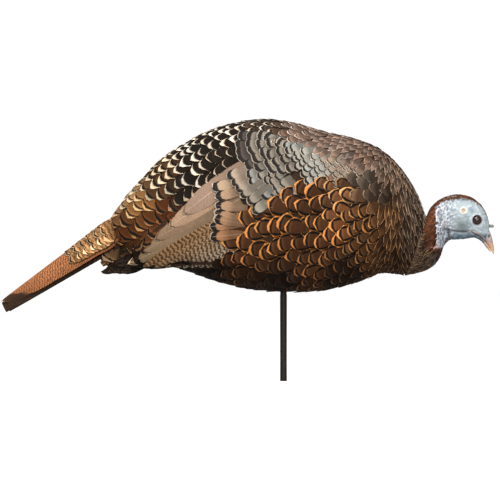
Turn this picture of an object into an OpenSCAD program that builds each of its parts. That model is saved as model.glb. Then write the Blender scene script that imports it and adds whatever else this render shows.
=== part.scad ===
// Feeding hen turkey decoy: a hollow moulded body that turns and lifts off on a telescopic ground stake,
// with a head that turns and pulls out of a keyed neck socket.
// Frame: origin at the centre of the stake's lower end, +X towards the beak, +Y to the bird's left, +Z up.

/* [Stake] */
// Outside diameter of the stake below the belly
stake_d = 11; // [9:0.5:13]
// Length of full-diameter stake below its shoulder
stake_low_h = 138; // [120:1:140]
// Height of the top of the stake tube
tube_top_z = 300; // [290:1:310]
// Diameter of the ground spike that stows in the tube
spike_d = 7; // [5:0.5:7]

/* [Body] */
// Widest half-width of the body
body_half_w = 110; // [95:1:120]
// Thickness of the moulded wall
wall = 2.6; // [2:0.1:4]
// Depth of the bonding ledge inside the seam
ledge_depth = 9; // [6:0.5:12]
// Thickness of the wing panels
wing_t = 3; // [2:0.5:5]

/* [Neck] */
// Outside diameter of the spigot on the head
spigot_d = 30; // [26:1:32]
// Outside diameter of the ring that turns with the head
ring_d = 44; // [42:1:46]
// Depth of the socket behind the neck opening
socket_depth = 36; // [34:1:40]

/* [Head] */
// Diameter of each eye
eye_d = 14.6; // [12:0.2:16]
// Thickness of the head's moulded wall
head_wall = 3; // [2:0.2:4]

/* [Quality] */
// Rings along the body shell
body_rings = 54; // [24:2:60]
// Steps round each half of the body shell
body_steps = 18; // [10:2:24]

/* [Hidden] */
$fn = 64;

fit_gap = 0.1;      // radial gap of a running fit
press_gap = 0.01;   // radial gap of a pressed or bonded fit
cut = 1;            // overrun of a cutting solid

// Colours of the mouldings and hardware
steel_brown = [0.16, 0.13, 0.11];
bright_steel = [0.70, 0.70, 0.72];
nylon = [0.86, 0.84, 0.78];
black_plastic = [0.10, 0.10, 0.11];
rubber_black = [0.06, 0.06, 0.06];
plumage = [0.34, 0.24, 0.16];
wing_brown = [0.55, 0.45, 0.36];
tail_rust = [0.55, 0.30, 0.15];
skin_blue = [0.66, 0.74, 0.80];
eye_brown = [0.12, 0.05, 0.03];
beak_horn = [0.72, 0.52, 0.26];

// ---- Stake sizes -------------------------------------------------------------------------------
stake_r = stake_d / 2;
mast_r = stake_r - 0.3;             // slightly slimmer above the shoulder, where the decoy slides on
tube_bore_r = 4.4;
bush_h = 16;
spike_r = spike_d / 2;
spike_tip_z = 2;                    // the point stows just inside the tube's mouth
spike_tip_h = 12;
guide_h = 12;
spike_top_z = tube_top_z - 16;
spindle_plug_h = 14;
shoulder_h = 3;
journal_r = 3.2;
journal_top_z = tube_top_z + 54;
sleeve_z = tube_top_z + shoulder_h + 0.2;
sleeve_top_z = tube_top_z + 63;
sleeve_bore_r = journal_r + 0.06;
counterbore_r = 4.2;
washer_h = 1;
screw_hole_r = 1.6;

// ---- Receiver in the body ----------------------------------------------------------------------
receiver_bore_r = mast_r + fit_gap;
receiver_r = 8;
receiver_z = 144.6;                 // its mouth is flush with the belly
receiver_top_z = sleeve_top_z - 4;
receiver_flange_r = 15;
receiver_flange_z = 149.4;
receiver_flange_h = 3;
cap_r = 12;
cap_lap = 12;                       // how far the cap reaches down over the tube
cap_disc_r = 14;
cap_disc_h = 4;
cap_top_z = 403.4;                  // just under the bonding ledge of the back

// ---- Body outline ------------------------------------------------------------------------------
// Each station: [back x, back z, belly x, belly z, share of the widest half-width]
body_stations = [
    [-271, 268, -264, 222, 0.27],
    [-262, 278, -255, 213, 0.35],
    [-249, 297, -240, 206, 0.45],
    [-223, 325, -212, 196, 0.60],
    [-198, 352, -185, 187, 0.72],
    [-166, 374, -155, 178, 0.83],
    [-127, 396, -118, 165, 0.92],
    [ -82, 411,  -76, 153, 0.97],
    [ -34, 418,  -31, 146, 1.00],
    [  14, 413,   17, 144, 1.00],
    [  62, 399,   62, 146, 0.97],
    [ 106, 389,  100, 154, 0.92],
    [ 142, 377,  132, 165, 0.84],
    [ 170, 357,  152, 174, 0.73],
    [ 194, 329,  167, 175, 0.62],
    [ 212, 298,  182, 173, 0.51],
    [ 225, 262, 194.5, 171, 0.436]
];
body_last = len(body_stations) - 1;
body_power = 0.94;                  // below 1 squares the cross-section a little
ledge_w = 3;                        // thickness of the bonding ledge on each half

// ---- Neck frame: the plane of the shell's front edge ---------------------------------------------
neck_top = [body_stations[body_last][0], body_stations[body_last][1]];
neck_bottom = [body_stations[body_last][2], body_stations[body_last][3]];
neck_centre = [(neck_top[0] + neck_bottom[0]) / 2, 0, (neck_top[1] + neck_bottom[1]) / 2];
neck_tilt = atan2(neck_top[0] - neck_bottom[0], neck_top[1] - neck_bottom[1]);

spigot_r = spigot_d / 2;
ring_r = ring_d / 2;
neck_flange_r = 44.4;               // of the socket's flange and of the head's
spigot_flange_h = 3;
face_gap = 0.6;                     // between the shell's edge and the head's flange
key_w = 4;
key_reach = 2.3;                    // how far the key stands out of the spigot
lip_r = 18;
lip_h = 3;
socket_face = 1.5;                  // how far the socket's flange sits behind the opening
socket_r = ring_r + 5;
turn_limit = 90;                    // the head turns this far to each side
turn_slot_z = -12.5;
turn_slot_w = 4;
turn_slot_depth = 2.4;
stop_screw_r = 1.5;

// ---- Head outline --------------------------------------------------------------------------------
// Each station: [back x, back z, throat x, throat z, half-width]
head_stations = [
    [228.7, 261.0, 198.2, 170.0, 48.0],
    [231.8, 267.6, 217.0, 174.0, 44.0],
    [235.0, 276.0, 237.0, 182.0, 37.5],
    [242.0, 283.5, 250.0, 198.5, 31.0],
    [250.5, 290.0, 256.0, 216.5, 24.5],
    [260.5, 295.0, 265.0, 225.0, 21.0],
    [271.5, 297.5, 275.5, 226.2, 19.5],
    [282.5, 298.0, 285.5, 226.6, 19.0],
    [294.0, 296.0, 295.0, 228.0, 18.6],
    [305.0, 291.0, 303.0, 229.2, 17.8],
    [315.0, 282.5, 309.4, 227.8, 16.2],
    [323.0, 271.5, 314.4, 225.0, 13.8],
    [327.5, 259.5, 317.8, 222.0, 11.4],
    [329.6, 247.5, 320.4, 219.2,  9.2]
];
head_last = len(head_stations) - 1;
head_rings = 40;
head_cavity_rings = 36;             // the cavity ends this many rings from the neck
head_rim_w = 9;                     // width of the rim that is bonded to the spigot's flange
head_steps = 32;
eye_at = [308.5, 257.5];
eye_back_y = 13;
eye_rim_h = 3.2;
eye_dome_h = 3.4;
snood_at = [320, 0, 248.6];         // inner end of the snood's peg
snood_tilt = 94;                    // from straight up towards the beak
snood_peg_r = 2.2;
snood_peg_h = 9.6;
snood_len = 7.4;

// Each station: [ridge x, ridge z, mouth x, mouth z, half-width]
upper_beak_stations = [
    [328.5, 243.5, 321.8, 222.9, 8.6],
    [332.8, 231.5, 328.0, 215.9, 6.6],
    [335.9, 218.0, 332.0, 209.2, 4.2],
    [337.2, 205.5, 335.6, 202.4, 1.2]
];
// Each station: [mouth x, mouth z, chin x, chin z, half-width]
lower_beak_stations = [
    [321.6, 222.3, 320.6, 219.3, 7.6],
    [327.6, 215.2, 325.6, 212.0, 5.6],
    [331.2, 208.8, 330.0, 206.8, 2.4]
];
beak_rings = 12;
beak_steps = 20;

// ---- Tail frame ----------------------------------------------------------------------------------
tail_root = [-262, 0, 243];
tail_pitch = 34;                    // the tail points back and down by this angle
tail_len = 222;
tail_start = -2;                    // local x of the fan's root edge
fan_t = 3;
tail_screw_x = [-20, -34];

// ---- Wing form -----------------------------------------------------------------------------------
// Each station: [place along the body stations, upper edge, lower edge]; edges run from 1 at the back to -1
wing_stations = [
    [ 2.20, -0.46, -0.86],
    [ 3.10, -0.22, -0.88],
    [ 4.20, -0.06, -0.84],
    [ 5.30,  0.06, -0.78],
    [ 6.40,  0.26, -0.73],
    [ 7.50,  0.56, -0.64],
    [ 8.60,  0.74, -0.52],
    [ 9.80,  0.80, -0.40],
    [11.00,  0.78, -0.28],
    [12.20,  0.74, -0.08],
    [13.20,  0.62,  0.18]
];
wing_last = len(wing_stations) - 1;
wing_gap = 0.4;                     // the bond line between the panel and the shell
wing_rows = 36;
wing_cols = 14;
wing_peg_at = [7, 10];              // places of the pegs along the body stations
wing_peg_r = 3;
wing_peg_h = 12;
wing_clip_r = 7;
wing_clip_h = 1.2;
wing_clip_set = 1.6;                // how far the clip stands in from the wall

// ---- Curves --------------------------------------------------------------------------------------
function lerp(a, b, t) = a + (b - a) * t;

function clamp01(t) = max(0, min(1, t));

function smooth(t) = let (s = clamp01(t)) s * s * (3 - 2 * s);

// A smooth curve through a list of points, read at a real-numbered index.
function spline(list, t) =
    let (
        last = len(list) - 1,
        i = min(max(floor(t), 0), last - 1),
        f = t - i,
        p0 = list[max(i - 1, 0)],
        p1 = list[i],
        p2 = list[i + 1],
        p3 = list[min(i + 2, last)]
    )
    0.5 * (2 * p1 + (p2 - p0) * f
        + (2 * p0 - 5 * p1 + 4 * p2 - p3) * f * f
        + (3 * p1 - p0 - 3 * p2 + p3) * f * f * f);

function signed_power(v, p) = sign(v) * pow(abs(v), p);

// A point on the oval of a station, at an angle from its back (0) by the right side (90) to its belly (180),
// moved inwards by inset. The station is [back x, back z, belly x, belly z, half-width].
function oval_point(s, angle, inset, power = 1) =
    let (
        centre = [(s[0] + s[2]) / 2, (s[1] + s[3]) / 2],
        half = [(s[0] - s[2]) / 2, (s[1] - s[3]) / 2],
        length = norm(half),
        k = (length - inset) / length * signed_power(cos(angle), power)
    )
    [
        centre[0] + half[0] * k,
        -(s[4] - inset) * signed_power(sin(angle), power),
        centre[1] + half[1] * k
    ];

function body_at(t) =
    let (s = spline(body_stations, t))
    [s[0], s[1], s[2], s[3], s[4] * body_half_w];

// ---- Solids from grids of points -------------------------------------------------------------------
function flat(list) = [for (row = list) for (p = row) p];

// A plate between two matching grids, closed at its four edges. The rows of grid a, which lies outside, run
// towards +X, and its columns run down the right side or across the top from left to right.
module slab(a, b) {
    rows = len(a);
    cols = len(a[0]);
    shift = rows * cols;
    function at(i, j) = i * cols + j;
    polyhedron(
        points = concat(flat(a), flat(b)),
        faces = concat(
            [for (i = [0:rows - 2]) for (j = [0:cols - 2])
                each [[at(i, j), at(i + 1, j + 1), at(i, j + 1)], [at(i, j), at(i + 1, j), at(i + 1, j + 1)]]],
            [for (i = [0:rows - 2]) for (j = [0:cols - 2])
                each [[shift + at(i, j), shift + at(i, j + 1), shift + at(i + 1, j + 1)],
                      [shift + at(i, j), shift + at(i + 1, j + 1), shift + at(i + 1, j)]]],
            [for (i = [0:rows - 2])
                each [[at(i, 0), shift + at(i + 1, 0), at(i + 1, 0)], [at(i, 0), shift + at(i, 0), shift + at(i + 1, 0)],
                      [at(i + 1, cols - 1), shift + at(i, cols - 1), at(i, cols - 1)],
                      [at(i + 1, cols - 1), shift + at(i + 1, cols - 1), shift + at(i, cols - 1)]]],
            [for (j = [0:cols - 2])
                each [[at(0, j + 1), shift + at(0, j), at(0, j)], [at(0, j + 1), shift + at(0, j + 1), shift + at(0, j)],
                      [at(rows - 1, j), shift + at(rows - 1, j + 1), at(rows - 1, j + 1)],
                      [at(rows - 1, j), shift + at(rows - 1, j), shift + at(rows - 1, j + 1)]]]
        ));
}

// Side faces between closed rings, where ring i starts at point first + i * steps.
function ring_sides(rings, steps, first, inward) =
    [for (i = [0:rings - 2]) for (j = [0:steps - 1])
        let (
            k = (j + 1) % steps,
            p = first + i * steps + j,
            q = first + i * steps + k,
            r = p + steps,
            s = q + steps
        )
        each (inward ? [[p, q, s], [p, s, r]] : [[p, s, q], [p, r, s]])];

function mean(list, i = 0) = i == len(list) ? [0, 0, 0] : list[i] / len(list) + mean(list, i + 1);

// A solid through closed rings that follow one another towards +X, with a fan at each end.
module loft(rings) {
    steps = len(rings[0]);
    last = len(rings) - 1;
    count = len(rings) * steps;
    polyhedron(
        points = concat(flat(rings), [mean(rings[0]), mean(rings[last])]),
        faces = concat(
            ring_sides(len(rings), steps, 0, false),
            [for (j = [0:steps - 1]) [j, (j + 1) % steps, count]],
            [for (j = [0:steps - 1]) [last * steps + (j + 1) % steps, last * steps + j, count + 1]]
        ));
}

// A hollow form through closed rings, open at the first ring and closed at the last.
module cup(outer, inner) {
    steps = len(outer[0]);
    outer_last = len(outer) - 1;
    inner_last = len(inner) - 1;
    shift = len(outer) * steps;
    count = shift + len(inner) * steps;
    polyhedron(
        points = concat(flat(outer), flat(inner), [mean(outer[outer_last]), mean(inner[inner_last])]),
        faces = concat(
            ring_sides(len(outer), steps, 0, false),
            ring_sides(len(inner), steps, shift, true),
            [for (j = [0:steps - 1]) let (k = (j + 1) % steps)
                each [[j, k, shift + j], [shift + j, k, shift + k]]],
            [for (j = [0:steps - 1])
                [outer_last * steps + (j + 1) % steps, outer_last * steps + j, count]],
            [for (j = [0:steps - 1])
                [shift + inner_last * steps + j, shift + inner_last * steps + (j + 1) % steps, count + 1]]
        ));
}

// Rings of points through all the stations.
function oval_rings(stations, rings, steps) =
    [for (i = [0:rings - 1])
        let (s = spline(stations, (len(stations) - 1) * i / (rings - 1)))
        [for (j = [0:steps - 1]) oval_point(s, 360 * j / steps, 0)]];

// A straight tube or rod along +Z.
module pipe(r, bore, z, h) {
    difference() {
        translate([0, 0, z]) cylinder(r = r, h = h);
        translate([0, 0, z - cut]) cylinder(r = bore, h = h + 2 * cut);
    }
}

// Places children in the neck frame, where +Z leaves the body through the neck opening.
module in_neck() {
    translate(neck_centre) rotate([0, 90 + neck_tilt, 0]) children();
}

// Places children in the tail frame, where -X runs back along the tail.
module in_tail() {
    translate(tail_root) rotate([0, -tail_pitch, 0]) children();
}

// ---- Stake -----------------------------------------------------------------------------------------
module stake_tube() {
    color(steel_brown)
    difference() {
        union() {
            cylinder(r = stake_r, h = stake_low_h);
            cylinder(r = mast_r, h = tube_top_z);
        }
        translate([0, 0, -cut]) cylinder(r = tube_bore_r, h = tube_top_z + 2 * cut);
    }
}

module spike_bush() {
    color(nylon) pipe(tube_bore_r - press_gap, spike_r + 0.06, 0.4, bush_h);
}

module stake_spindle() {
    color(bright_steel)
    difference() {
        union() {
            translate([0, 0, tube_top_z - spindle_plug_h])
                cylinder(r = tube_bore_r - press_gap, h = spindle_plug_h + cut);
            translate([0, 0, tube_top_z]) cylinder(r = mast_r, h = shoulder_h);
            translate([0, 0, tube_top_z]) cylinder(r = journal_r, h = journal_top_z - tube_top_z);
        }
        translate([0, 0, journal_top_z - 11]) cylinder(r = screw_hole_r, h = 11 + cut);
    }
}

module spindle_washer() {
    color(bright_steel) pipe(counterbore_r - 0.12, screw_hole_r, journal_top_z, washer_h);
}

module spindle_screw() {
    color(bright_steel) {
        translate([0, 0, journal_top_z - 9]) cylinder(r = screw_hole_r - 0.05, h = 9 + washer_h);
        difference() {
            translate([0, 0, journal_top_z + washer_h]) cylinder(r = 3, h = 2.6);
            translate([0, 0, journal_top_z + washer_h + 1.2]) cylinder(r = 1.5, h = 2, $fn = 6);
        }
    }
}

// ---- Ground spike ------------------------------------------------------------------------------------
module ground_spike() {
    color(bright_steel) {
        translate([0, 0, spike_tip_z]) cylinder(r1 = 0.4, r2 = spike_r, h = spike_tip_h);
        translate([0, 0, spike_tip_z + spike_tip_h])
            cylinder(r = spike_r, h = spike_top_z - guide_h - spike_tip_z - spike_tip_h);
        translate([0, 0, spike_top_z - guide_h]) cylinder(r = 2.5, h = guide_h);
    }
}

module spike_guide() {
    color(nylon) pipe(tube_bore_r - 0.06, 2.5 + press_gap, spike_top_z - guide_h, guide_h);
}

// ---- Swivel on the stake's top -------------------------------------------------------------------------
module swivel_sleeve() {
    color(nylon)
    difference() {
        translate([0, 0, sleeve_z]) cylinder(r = mast_r, h = sleeve_top_z - sleeve_z);
        translate([0, 0, sleeve_z - cut]) cylinder(r = sleeve_bore_r, h = journal_top_z - sleeve_z + cut);
        translate([0, 0, journal_top_z - 0.2]) cylinder(r = counterbore_r, h = 20);
    }
}

module sleeve_cap() {
    color(black_plastic)
        translate([0, 0, sleeve_top_z - 4]) cylinder(r = counterbore_r - press_gap, h = 4);
}

// ---- Body shell ------------------------------------------------------------------------------------------
// The bonding ledge fades out towards the neck opening and the tail opening.
function ledge_at(t) = wall + (ledge_depth - wall) * smooth((t - 2.5) / 1.2) * smooth((body_last - 0.8 - t) / 1.4);

// The angle from the back at which an oval of half-width w reaches y.
function angle_for(w, y) = asin(pow(min(1, y / w), 1 / body_power));

function shell_row(t, deep) =
    let (
        s = body_at(t),
        w = s[4],
        near = angle_for(w, ledge_w),
        past = angle_for(w, ledge_w + 0.6),
        ledge = deep ? ledge_at(t) : 0,
        skin = deep ? wall : 0,
        near_in = deep ? angle_for(w - ledge, ledge_w) : near,
        past_in = deep ? angle_for(w - wall, ledge_w + 0.6) : past
    )
    concat(
        [oval_point(s, 0, ledge, body_power), oval_point(s, near_in, ledge, body_power)],
        [for (j = [0:body_steps])
            let (a = lerp(past_in, 180 - past_in, j / body_steps))
            oval_point(s, a, skin, body_power)],
        [oval_point(s, 180 - near_in, ledge, body_power), oval_point(s, 180, ledge, body_power)]
    );

function shell_grid(deep) =
    [for (i = [0:body_rings]) shell_row(body_last * i / body_rings, deep)];

// One half of the moulded body, on the bird's right side, with the hole for the receiver.
module half_shell() {
    difference() {
        slab(shell_grid(false), shell_grid(true));
        translate([0, 0, receiver_z - 20]) cylinder(r = receiver_r + 0.3, h = 40);
        translate([0, 0, receiver_flange_z - 0.4]) cylinder(r = receiver_flange_r + 0.6, h = 20);
        for (t = wing_peg_at) at_wing_peg(t) cylinder(r = wing_peg_r + 0.1, h = 20, center = true);
    }
}

// Places children on the right side of the shell, at its widest, with +Z pointing into the body.
module at_wing_peg(t) {
    translate(oval_point(body_at(t), 90, 0)) rotate([-90, 0, 0]) children();
}

module shell_right() {
    color(plumage) half_shell();
}

module shell_left() {
    color(plumage) mirror([0, 1, 0]) half_shell();
}

module receiver_tube() {
    color(black_plastic)
    difference() {
        union() {
            translate([0, 0, receiver_z]) cylinder(r = receiver_r, h = receiver_top_z - receiver_z);
            translate([0, 0, receiver_flange_z]) cylinder(r = receiver_flange_r, h = receiver_flange_h);
        }
        translate([0, 0, receiver_z - cut])
            cylinder(r = receiver_bore_r, h = receiver_top_z - receiver_z + 2 * cut);
    }
}

module receiver_cap() {
    landing_z = sleeve_top_z + 0.05;
    color(black_plastic)
    difference() {
        union() {
            translate([0, 0, receiver_top_z - cap_lap]) cylinder(r = cap_r, h = cap_top_z - receiver_top_z + cap_lap);
            translate([0, 0, cap_top_z - cap_disc_h]) cylinder(r = cap_disc_r, h = cap_disc_h);
        }
        translate([0, 0, receiver_top_z - cap_lap - cut])
            cylinder(r = receiver_r + press_gap, h = cap_lap + cut + 0.05);
        translate([0, 0, receiver_top_z - cut]) cylinder(r = receiver_bore_r, h = landing_z - receiver_top_z + cut);
    }
}

// ---- Wings -----------------------------------------------------------------------------------------------
// The wing lies on a form that follows the body, but hangs lower and stands wider towards the tail.
function wing_form(t) =
    let (s = body_at(t), rear = smooth((7.5 - t) / 6))
    [s[0], s[1], s[2], s[3] - 26 * rear, s[4] + 8 * rear];

function wing_grid(off) =
    [for (i = [0:wing_rows])
        let (
            e = spline(wing_stations, wing_last * i / wing_rows),
            s = wing_form(e[0]),
            top = acos(e[1]),
            low = acos(e[2])
        )
        [for (j = [0:wing_cols]) oval_point(s, lerp(top, low, j / wing_cols), -off, body_power)]];

module wing_panel() {
    slab(wing_grid(wing_gap + wing_t), wing_grid(wing_gap));
    for (t = wing_peg_at) at_wing_peg(t)
        translate([0, 0, -wing_gap - 1]) cylinder(r = wing_peg_r, h = wing_peg_h);
}

module wing_right() {
    color(wing_brown) wing_panel();
}

module wing_left() {
    color(wing_brown) mirror([0, 1, 0]) wing_panel();
}

// The push-on clips that hold the wing pegs inside the shell.
module wing_clips() {
    color(bright_steel)
    for (side = [0, 1]) mirror([0, side, 0])
        for (t = wing_peg_at) at_wing_peg(t)
            pipe(wing_clip_r, wing_peg_r + press_gap, wall + wing_clip_set, wing_clip_h);
}

// ---- Tail ------------------------------------------------------------------------------------------------
// The ridge of the folded fan, its droop to each side and its half-width, against share of its length.
function fan_ridge(k) = lerp(22, 8, k);
function fan_droop(k) = lerp(44, 15, k);
function fan_half_w(k) = lerp(24, 38, smooth(k * 1.3)) * (k < 0.9 ? 1 : lerp(1, 0.78, (k - 0.9) * 10));

function fan_grid(down) =
    [for (i = [0:20])
        let (k = 1 - i / 20)
        [for (j = [0:16])
            let (side = j / 8 - 1)
            [
                lerp(tail_start - 14 * side * side, -tail_len, k),
                -side * fan_half_w(k),
                fan_ridge(k) - fan_droop(k) * pow(abs(side), 1.6) - down
            ]]];

module tail_fan() {
    color(tail_rust)
    difference() {
        in_tail() union() {
            slab(fan_grid(0), fan_grid(fan_t));
            for (x = tail_screw_x) translate([x, 0, 10.4]) cylinder(r = 4.5, h = fan_ridge(-x / tail_len) - 13.2);
        }
        tail_screw_holes(1.6);
    }
}

module tail_screw_holes(r) {
    in_tail() for (x = tail_screw_x) translate([x, 0, -14]) cylinder(r = r, h = 31);
}

module tail_block() {
    color(black_plastic)
    difference() {
        union() {
            loft([for (i = [0:6])
                let (s = body_at(lerp(0, 2.4, i / 6)))
                [for (j = [0:23]) oval_point(s, 360 * j / 24, wall + 0.4, body_power)]]);
            in_tail() translate([-46, -8, 2]) cube([54, 16, 8]);
        }
        tail_screw_holes(2.1);
    }
}

module tail_screws() {
    color(bright_steel)
    in_tail() for (x = tail_screw_x) translate([x, 0, 0]) {
        translate([0, 0, -1.6]) cylinder(r = 1.5, h = 18);
        translate([0, 0, -0.9]) cylinder(r = 3.6, h = 2.6);
    }
}

// Stiff dark feathers moulded as one wedge that is bonded under the end of the shell.
module undertail() {
    color(black_plastic)
    difference() {
        hull() {
            translate([-236, -22, 190]) cube([6, 44, 18]);
            translate([-258, -15, 177]) cube([18, 30, 4]);
            translate([-273, -12, 180]) cube([4, 24, 3]);
            translate([-271, -13, 214]) cube([6, 26, 5]);
        }
        loft([for (i = [0:10])
            let (s = body_at(lerp(0, 3.4, i / 10)))
            [for (j = [0:31]) oval_point(s, 360 * j / 32, -0.2, body_power)]]);
    }
}

// ---- Neck socket -------------------------------------------------------------------------------------------
module neck_socket() {
    color(black_plastic)
    in_neck() difference() {
        union() {
            translate([0, 0, -socket_face - 4]) cylinder(r = neck_flange_r, h = 4);
            translate([0, 0, -socket_depth]) cylinder(r = socket_r, h = socket_depth - socket_face);
        }
        translate([0, 0, -socket_depth - cut])
            cylinder(r = ring_r + fit_gap, h = socket_depth + cut - socket_face - lip_h);
        translate([0, 0, -socket_depth - cut]) cylinder(r = lip_r, h = socket_depth + 2 * cut);
        translate([0, 0, -33.6]) cylinder(r = ring_r + 2, h = 1.6);
        at_stop_screw() cylinder(r = stop_screw_r + 0.05, h = 20);
    }
}

// Places children at the bottom of the turning ring's slot, with +Z pointing out through the socket's wall.
module at_stop_screw() {
    translate([ring_r - turn_slot_depth + 0.6, 0, turn_slot_z + turn_slot_w / 2]) rotate([0, 90, 0]) children();
}

module turn_stop_screw() {
    shank_h = socket_r - ring_r + turn_slot_depth - 0.6;
    color(bright_steel)
    in_neck() at_stop_screw() {
        cylinder(r = stop_screw_r, h = shank_h + 0.6);
        translate([0, 0, shank_h + 0.1]) cylinder(r = 2.8, h = 2);
    }
}

module neck_circlip() {
    color(bright_steel)
    in_neck() difference() {
        pipe(ring_r + 1.9, ring_r - 1.6, -33.4, 1.2);
        translate([ring_r, 0, -33]) cube([12, 12, 6], center = true);
    }
}

module neck_ring() {
    color(nylon)
    in_neck() difference() {
        translate([0, 0, -31.7]) cylinder(r = ring_r, h = 27);
        translate([0, 0, -34]) cylinder(r = spigot_r + fit_gap, h = 32);
        translate([-spigot_r - key_reach - 0.4, -key_w / 2 - 0.1, -34])
            cube([spigot_r, key_w + 0.2, 32]);
        pipe(ring_r + cut, ring_r - 1.8, -20, 4);
        turn_slot();
    }
}

// The slot that the stop screw runs in; the screw is 5.5 degrees wide to each side with its play.
module turn_slot() {
    reach = turn_limit + 5.5;
    rotate([0, 0, -reach]) rotate_extrude(angle = 2 * reach)
        translate([ring_r - turn_slot_depth, turn_slot_z]) square([turn_slot_depth + cut, turn_slot_w]);
}

module ring_drag_seal() {
    color(rubber_black) in_neck() pipe(ring_r + fit_gap / 2, ring_r - 1.75, -19.9, 3.8);
}

// ---- Head ----------------------------------------------------------------------------------------------------
// A ring of the head's cavity, which narrows to a wide rim at the neck.
function cavity_ring(i) =
    let (
        t = head_last * i / (head_rings - 1),
        inset = lerp(head_rim_w, head_wall, smooth(t / 2.5)),
        s = spline(head_stations, t)
    )
    [for (j = [0:head_steps - 1]) oval_point(s, 360 * j / head_steps, inset)];

module head_shell() {
    color(skin_blue)
    difference() {
        cup(oval_rings(head_stations, head_rings, head_steps), [for (i = [0:head_cavity_rings - 1]) cavity_ring(i)]);
        translate([eye_at[0], 0, eye_at[1]]) rotate([90, 0, 0])
            cylinder(r = eye_d / 2 + 0.1, h = 60, center = true);
        translate(snood_at) rotate([0, snood_tilt, 0]) cylinder(r = snood_peg_r + 0.1, h = 20);
    }
}

module head_spigot() {
    color(black_plastic)
    in_neck() difference() {
        union() {
            translate([0, 0, -33]) cylinder(r = spigot_r, h = 34);
            translate([0, 0, face_gap]) cylinder(r = neck_flange_r, h = spigot_flange_h);
            translate([-spigot_r - key_reach, -key_w / 2, -26]) cube([spigot_r, key_w, 26 + cut]);
        }
        translate([0, 0, -33 - cut]) cylinder(r = spigot_r - 4, h = 40);
        pipe(spigot_r + cut, spigot_r - 1.8, -30.5, 2.6);
    }
}

module spigot_o_ring() {
    color(rubber_black) in_neck() pipe(spigot_r + fit_gap / 2, spigot_r - 1.75, -30.4, 2.4);
}

// One glossy eye, turned out towards +Y.
module eye() {
    dome_r = (pow(eye_d / 2, 2) + pow(eye_dome_h, 2)) / (2 * eye_dome_h);
    translate([eye_at[0], eye_back_y, eye_at[1]]) rotate([-90, 0, 0])
    intersection() {
        cylinder(r = eye_d / 2, h = eye_rim_h + eye_dome_h + cut);
        translate([0, 0, eye_rim_h + eye_dome_h - dome_r]) sphere(r = dome_r);
    }
}

module eye_left() {
    color(eye_brown) eye();
}

module eye_right() {
    color(eye_brown) mirror([0, 1, 0]) eye();
}

module beak_upper() {
    color(beak_horn) loft(oval_rings(upper_beak_stations, beak_rings, beak_steps));
}

module beak_lower() {
    color(beak_horn) loft(oval_rings(lower_beak_stations, beak_rings, beak_steps));
}

module snood() {
    color(skin_blue)
    translate(snood_at) rotate([0, snood_tilt, 0]) {
        cylinder(r = snood_peg_r, h = snood_peg_h + cut);
        translate([0, 0, snood_peg_h]) cylinder(r1 = 2.3, r2 = 2.6, h = snood_len - 2.6);
        translate([0, 0, snood_peg_h + snood_len - 2.6]) sphere(r = 2.6);
    }
}

stake_tube();
spike_bush();
stake_spindle();
spindle_washer();
spindle_screw();
ground_spike();
spike_guide();
swivel_sleeve();
sleeve_cap();
shell_right();
shell_left();
receiver_tube();
receiver_cap();
tail_block();
tail_fan();
tail_screws();
undertail();
wing_right();
wing_left();
wing_clips();
neck_socket();
neck_circlip();
turn_stop_screw();
neck_ring();
ring_drag_seal();
head_shell();
head_spigot();
spigot_o_ring();
eye_right();
eye_left();
beak_upper();
beak_lower();
snood();
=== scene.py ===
"""Visual model of a feeding hen turkey decoy: its plumage, head, eyes, beak and ground stake."""

import logging
import math
from dataclasses import dataclass, field
from enum import Enum

import bpy
import numpy as np
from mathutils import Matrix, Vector, noise
from mathutils.bvhtree import BVHTree


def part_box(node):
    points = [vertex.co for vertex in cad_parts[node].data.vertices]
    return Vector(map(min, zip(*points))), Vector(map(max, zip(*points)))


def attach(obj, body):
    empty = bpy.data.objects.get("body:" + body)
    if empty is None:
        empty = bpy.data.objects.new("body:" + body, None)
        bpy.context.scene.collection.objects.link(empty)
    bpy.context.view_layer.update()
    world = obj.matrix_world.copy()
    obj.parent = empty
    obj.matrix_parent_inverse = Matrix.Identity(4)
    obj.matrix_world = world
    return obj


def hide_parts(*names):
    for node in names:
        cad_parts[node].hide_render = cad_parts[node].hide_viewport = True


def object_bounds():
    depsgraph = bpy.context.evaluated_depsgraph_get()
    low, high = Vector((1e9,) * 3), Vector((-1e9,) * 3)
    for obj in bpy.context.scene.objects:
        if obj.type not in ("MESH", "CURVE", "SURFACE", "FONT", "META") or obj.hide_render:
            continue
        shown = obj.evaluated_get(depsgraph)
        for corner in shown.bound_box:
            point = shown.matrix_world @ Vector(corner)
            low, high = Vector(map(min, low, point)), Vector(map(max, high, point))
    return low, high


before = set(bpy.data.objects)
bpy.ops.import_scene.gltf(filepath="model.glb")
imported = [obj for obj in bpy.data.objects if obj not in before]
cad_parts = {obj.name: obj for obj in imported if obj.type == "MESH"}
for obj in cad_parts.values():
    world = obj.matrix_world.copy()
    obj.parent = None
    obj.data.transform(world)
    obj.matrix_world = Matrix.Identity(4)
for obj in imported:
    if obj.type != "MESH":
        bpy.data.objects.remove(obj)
cad_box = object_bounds()

log = logging.getLogger("decoy")

MM = 0.001
Colour = tuple[float, float, float]
Spot = tuple[float, float]

BLACK: Colour = (0.012, 0.009, 0.007)


class Side(Enum):
    """The two sides of the bird, with the sign of their Y."""

    RIGHT = -1
    LEFT = 1


# ---- Surfaces that feathers lie on --------------------------------------------------------------


def cad_tree(names: list[str]) -> BVHTree:
    """Gathers CAD nodes into one tree for rays.

    Args:
        names: The nodes' names.

    Returns:
        A tree over all their faces, in the row frame.
    """
    points: list[Vector] = []
    faces: list[list[int]] = []
    for name in names:
        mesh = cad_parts[name].data
        shift = len(points)
        points += [v.co.copy() for v in mesh.vertices]
        faces += [[shift + i for i in p.vertices] for p in mesh.polygons]
    return BVHTree.FromPolygons(points, faces)


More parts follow.
